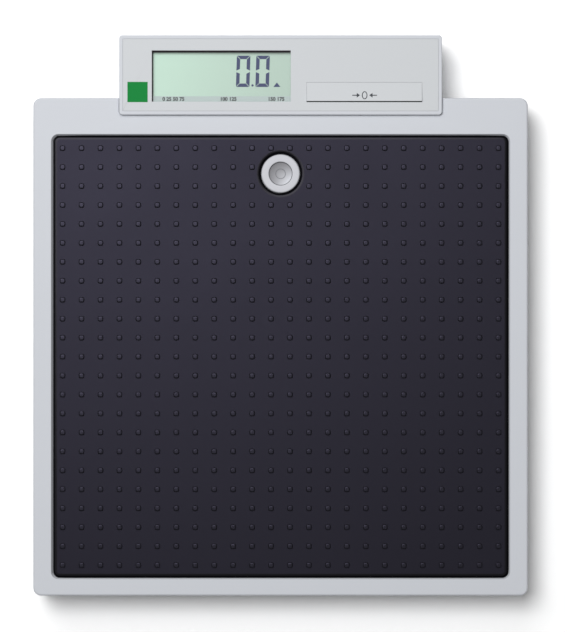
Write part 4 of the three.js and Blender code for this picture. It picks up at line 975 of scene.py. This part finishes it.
class SCALE_OT_underside(bpy.types.Operator):
    """Makes the feet, the screws and the grips on the battery lid."""

    bl_idname = "scale.underside"
    bl_label = "Feet and screws"

    def pad(self, corner):
        """A rubber disc with round edges, a socket above and three round grip grooves below.

        The grooves lie at one, two and three pitches from the middle, wider at the mouth.
        """
        node = f"foot_pad_{corner}"
        centre, radius, _, top = disc_of(node)
        edge, socket, floor = 0.9 * MM, 5.4 * MM, top - 3 * MM
        pitch, mouth, bed, depth = 4.2 * MM, 0.7 * MM, 0.5 * MM, 0.5 * MM
        under = []
        for groove in (pitch, 2 * pitch, 3 * pitch):
            under += [(groove - mouth, 0), (groove - bed, depth),
                      (groove + bed, depth), (groove + mouth, 0)]
        profile = np.concatenate([
            [(0, 0)], under,
            quarter(radius - edge, edge, edge, -90, 0),
            quarter(radius - edge, top - edge, edge, 0, 90),
            [(socket, top), (socket, floor), (0, floor)]])
        points = round_about(centre, profile, 72)
        skin(f"{node}_moulded", "rubber_foot", points, node, (node,), sharp=30)

    def stud(self, foot, corner):
        """A turned stud: swivel, knurled collar, shoulder and thread.

        The collar's radius falls by the knurl's depth times |sin 15 a| ** 3, and the thread's
        radius by its depth times the thread wave.
        """
        node = f"foot_stud_{corner}"
        centre, collar, foot_end, top = disc_of(node)
        bottom, ledge, shoulder = 5.3 * MM, 9.3 * MM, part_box(f"load_cell_{corner}")[0].z - 0.3 * MM
        swivel, neck, shank, tip = 5 * MM, 7 * MM, 4 * MM, 3 * MM
        edge, bevel, step, end = 0.6 * MM, 0.4 * MM, 0.3 * MM, 1.0 * MM
        thread_z = np.arange(shoulder, top - end, step)
        profile = np.concatenate([
            [(0, foot_end), (swivel - bevel, foot_end), (swivel, foot_end + bevel),
             (swivel, bottom)],
            quarter(collar - edge, bottom + edge, edge, -90, 0),
            quarter(collar - edge, ledge - edge, edge, 0, 90),
            [(neck, ledge), (neck, shoulder - bevel), (neck - bevel, shoulder),
             (shank, shoulder)],
            np.column_stack([np.full(len(thread_z), shank), thread_z]),
            [(tip, top), (0, top)]])
        points = round_about(centre, profile, 120)
        angle = full_turn(120)
        grips, near, pitch, depth, least = 15, 0.3 * MM, 1.25 * MM, 0.6 * MM, 1 * MM
        grip = foot.knurl * abs(np.sin(grips * angle)) ** 3
        wave = thread_wave(profile, angle, pitch)
        on_collar = (profile[:, 0] > collar - near)[:, None]
        on_thread = ((profile[:, 0] == shank) & (profile[:, 1] > shoulder))[:, None]
        less = np.where(on_collar, grip, 0) + np.where(on_thread, depth * wave, 0)
        draw_in(points, centre, 1 - less / np.maximum(profile[:, :1], least))
        skin(f"{node}_turned", "zinc_turned", points, node, (node,), sharp=40)

    def screw(self, node):
        """A screw that goes up from its head: the head's rings, then the shank's profile.

        The thread wave takes up to 22% of the shank's radius.
        """
        centre, radius, bottom, top = disc_of(node)
        base = node.startswith("base")
        head, shank = (2.3 * MM, 1.75 * MM) if base else (2.4 * MM, 1.5 * MM)
        cross, recess, pitch, depth_share = 1.25 * radius, 1.1 * MM, 1.4 * MM, 0.22
        centre.z = bottom + head
        rings = screw_points(centre, radius, head, cross, recess)
        first, step = 0.2 * MM, 0.35 * MM
        height = np.arange(first, top - centre.z - shank, step)
        profile = np.column_stack([np.full(len(height), shank), centre.z + height])
        profile = np.concatenate([[(shank, centre.z)], profile, [(0, top)]])
        body = round_about(centre, profile, 64)
        wave = thread_wave(profile, full_turn(64), pitch)
        draw_in(body, centre, 1 - depth_share * wave * (profile[:, :1] > 0))
        skin(f"{node}_driven", "zinc_turned", np.concatenate([rings, body]), "root",
             (node,), sharp=40)

    def grips(self):
        """Raised bars beside the lid's thumb notch, each a half round on a flat foot."""
        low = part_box("battery_lid")[0]
        from_front, spacing, longest, shorter = 8 * MM, 3 * MM, 16 * MM, 1.6 * MM
        half_width, height, foot, taper = 0.7 * MM, 0.5 * MM, 0.2 * MM, 0.6 * MM
        turn = np.linspace(0, np.pi, 9)
        across = np.concatenate([np.cos(turn), [-1, 1]]) * half_width
        down = np.concatenate([-np.sin(turn) * height, [foot, foot]])
        swell = np.array([0.02, 1, 1, 0.02])[:, None]
        rows, columns = len(swell), len(across)
        points, faces = [], []
        for index in range(5):
            y, half = low.y + from_front + index * spacing, longest - index * shorter
            ends = np.array([-half, taper - half, half - taper, half])
            points.append(np.stack(np.broadcast_arrays(
                ends[:, None], y + swell * across, low.z + np.where(down < 0, swell * down, down)),
                axis=-1))
            first = index * rows * columns
            cap = np.arange(columns) + first
            faces += (grid_faces(rows, columns) + first).tolist()
            faces += [cap.tolist(), (cap + (rows - 1) * columns).tolist()]
        surface("battery_lid_grips", ["abs_tray"], np.concatenate(points), faces,
                "battery_lid", sharp=60)

    def execute(self, context):
        foot = context.scene.scale_foot
        for corner in CORNERS:
            self.pad(corner)
            self.stud(foot, corner)
            self.screw(f"base_screw_{corner}")
        for side in ("left", "right"):
            self.screw(f"cover_screw_{side}")
        self.grips()
        return {"FINISHED"}


class SCALE_OT_inside(bpy.types.Operator):
    """Gives the pieces inside the body and the head their finishes."""

    bl_idname = "scale.inside"
    bl_label = "Inside pieces"

    def execute(self, context):
        softened("platform_plate", "zinc_sheet", edge=0.5 * MM)
        softened("circuit_board", "solder_mask", edge=0.1 * MM)
        softened("processor_chip", "epoxy_chip", edge=0.15 * MM)
        softened("switch_body", "epoxy_chip", edge=0.15 * MM)
        for corner in CORNERS:
            softened(f"load_cell_{corner}", "aluminium_milled", edge=0.3 * MM)
            softened(f"load_cell_spacer_{corner}", "zinc_sheet", edge=0.3 * MM)
        for index in range(1, 7):
            softened(f"battery_cell_{index}", "sleeve_pvc", edge=0.2 * MM)
        coat(["battery_contacts_left", "battery_contacts_right"], "zinc_sheet")
        coat(["contact_strip"], "silicone_strip")
        coat(["head_screw_left", "head_screw_right"], "zinc_turned")
        coat(["lead_battery", *(f"lead_{corner}" for corner in CORNERS)], "sheath_pvc")
        return {"FINISHED"}


class SCALE_OT_stage(bpy.types.Operator):
    """Makes the floor, the two lights at the upper left, the fill and the camera above."""

    bl_idname = "scale.stage"
    bl_label = "Stage"

    def seen(self, tree):
        """One where a ray comes from the camera, a reflection or a clear piece."""
        path = add(tree, "ShaderNodeLightPath").outputs
        both = add(tree, "ShaderNodeMath", {
            0: path["Is Camera Ray"], 1: path["Is Glossy Ray"]}, operation="MAXIMUM")
        return add(tree, "ShaderNodeMath", {
            0: both.outputs[0], 1: path["Is Transmission Ray"]}, operation="MAXIMUM").outputs[0]

    def floor(self, stage):
        """Matt paper: pale for the other pieces, and as white as paper where it is seen."""
        material, tree, spot = blank_material("paper_sweep")
        fibre = add(tree, "ShaderNodeTexNoise", {"Vector": spot, "Scale": 1 / (4 * MM)})
        plain, white = [tinted(tree, fibre.outputs["Fac"], base, 0.004)
                        for base in (stage.floor, np.full(3, stage.floor_white))]
        paper = add(tree, "ShaderNodeMix", {
            "Factor": self.seen(tree), "A": plain, "B": white}, data_type="RGBA")
        shown(material, {"Color": paper.outputs["Result"]}, "ShaderNodeBsdfDiffuse")
        mesh = bpy.data.meshes.new("floor")
        grid = bmesh.new()
        bmesh.ops.create_grid(grid, x_segments=6, y_segments=6, size=stage.floor_reach)
        grid.to_mesh(mesh)
        grid.free()
        mesh.materials.append(material)
        floor = bpy.data.objects.new("floor", mesh)
        bpy.context.scene.collection.objects.link(floor)

    def put(self, light, place):
        """Puts a light at a place, facing the scale's middle, where the camera doesn't see it."""
        lamp = bpy.data.objects.new(light.name, light)
        lamp.location = place
        lamp.rotation_euler = Vector(place).to_track_quat("Z", "Y").to_euler()
        lamp.visible_camera = False
        bpy.context.scene.collection.objects.link(lamp)
        return lamp

    def execute(self, context):
        stage = context.scene.scale_stage
        self.floor(stage)
        world = bpy.data.worlds.new("studio")
        world.use_nodes = True
        tree = world.node_tree
        tree.nodes.clear()
        sky = add(tree, "ShaderNodeBackground", {"Strength": stage.fill})
        add(tree, "ShaderNodeOutputWorld", {"Surface": sky.outputs["Background"]})
        context.scene.world = world
        key = bpy.data.lights.new("key_light", "SUN")
        key.energy = stage.key_strength
        key.angle = stage.key_angle
        self.put(key, stage.key_from).visible_glossy = False
        soft = bpy.data.lights.new("soft_box", "AREA")
        soft.shape = "DISK"
        soft.size = stage.soft_size
        soft.energy = stage.soft_watts
        self.put(soft, stage.soft_from)
        lens = bpy.data.cameras.new("camera")
        lens.lens = stage.lens
        camera = bpy.data.objects.new("camera", lens)
        camera.location = stage.camera_at
        context.scene.collection.objects.link(camera)
        context.scene.camera = camera
        context.scene.view_settings.view_transform = "Standard"
        return {"FINISHED"}


OPERATORS = (SCALE_OT_shells, SCALE_OT_mat, SCALE_OT_level, SCALE_OT_display, SCALE_OT_key,
             SCALE_OT_underside, SCALE_OT_inside, SCALE_OT_stage)


class SCALE_PT_pieces(bpy.types.Panel):
    """Lists the pieces and their sizes and colours."""

    bl_idname = "SCALE_PT_pieces"
    bl_label = "Floor scale"
    bl_space_type = "VIEW_3D"
    bl_region_type = "UI"
    bl_category = "Scale"

    def draw(self, context):
        for operator in OPERATORS:
            self.layout.operator(operator.bl_idname)
        for name, group in SETTINGS.items():
            box = self.layout.box()
            for field in group.__annotations__:
                box.prop(getattr(context.scene, name), field)


def register():
    """Registers the settings, operators and panel."""
    for group in SETTINGS.values():
        bpy.utils.register_class(group)
    for cls in (*OPERATORS, SCALE_PT_pieces):
        bpy.utils.register_class(cls)
    for name, group in SETTINGS.items():
        setattr(bpy.types.Scene, name, bpy.props.PointerProperty(type=group))


def unregister():
    """Takes them away again."""
    for name in SETTINGS:
        delattr(bpy.types.Scene, name)
    for cls in (SCALE_PT_pieces, *reversed(OPERATORS)):
        bpy.utils.unregister_class(cls)
    for group in reversed(list(SETTINGS.values())):
        bpy.utils.unregister_class(group)


def main():
    """Makes every piece."""
    register()
    for operator in OPERATORS:
        group, name = operator.bl_idname.split(".")
        getattr(getattr(bpy.ops, group), name)()
    bpy.context.view_layer.update()


if __name__ == "__main__":
    main()
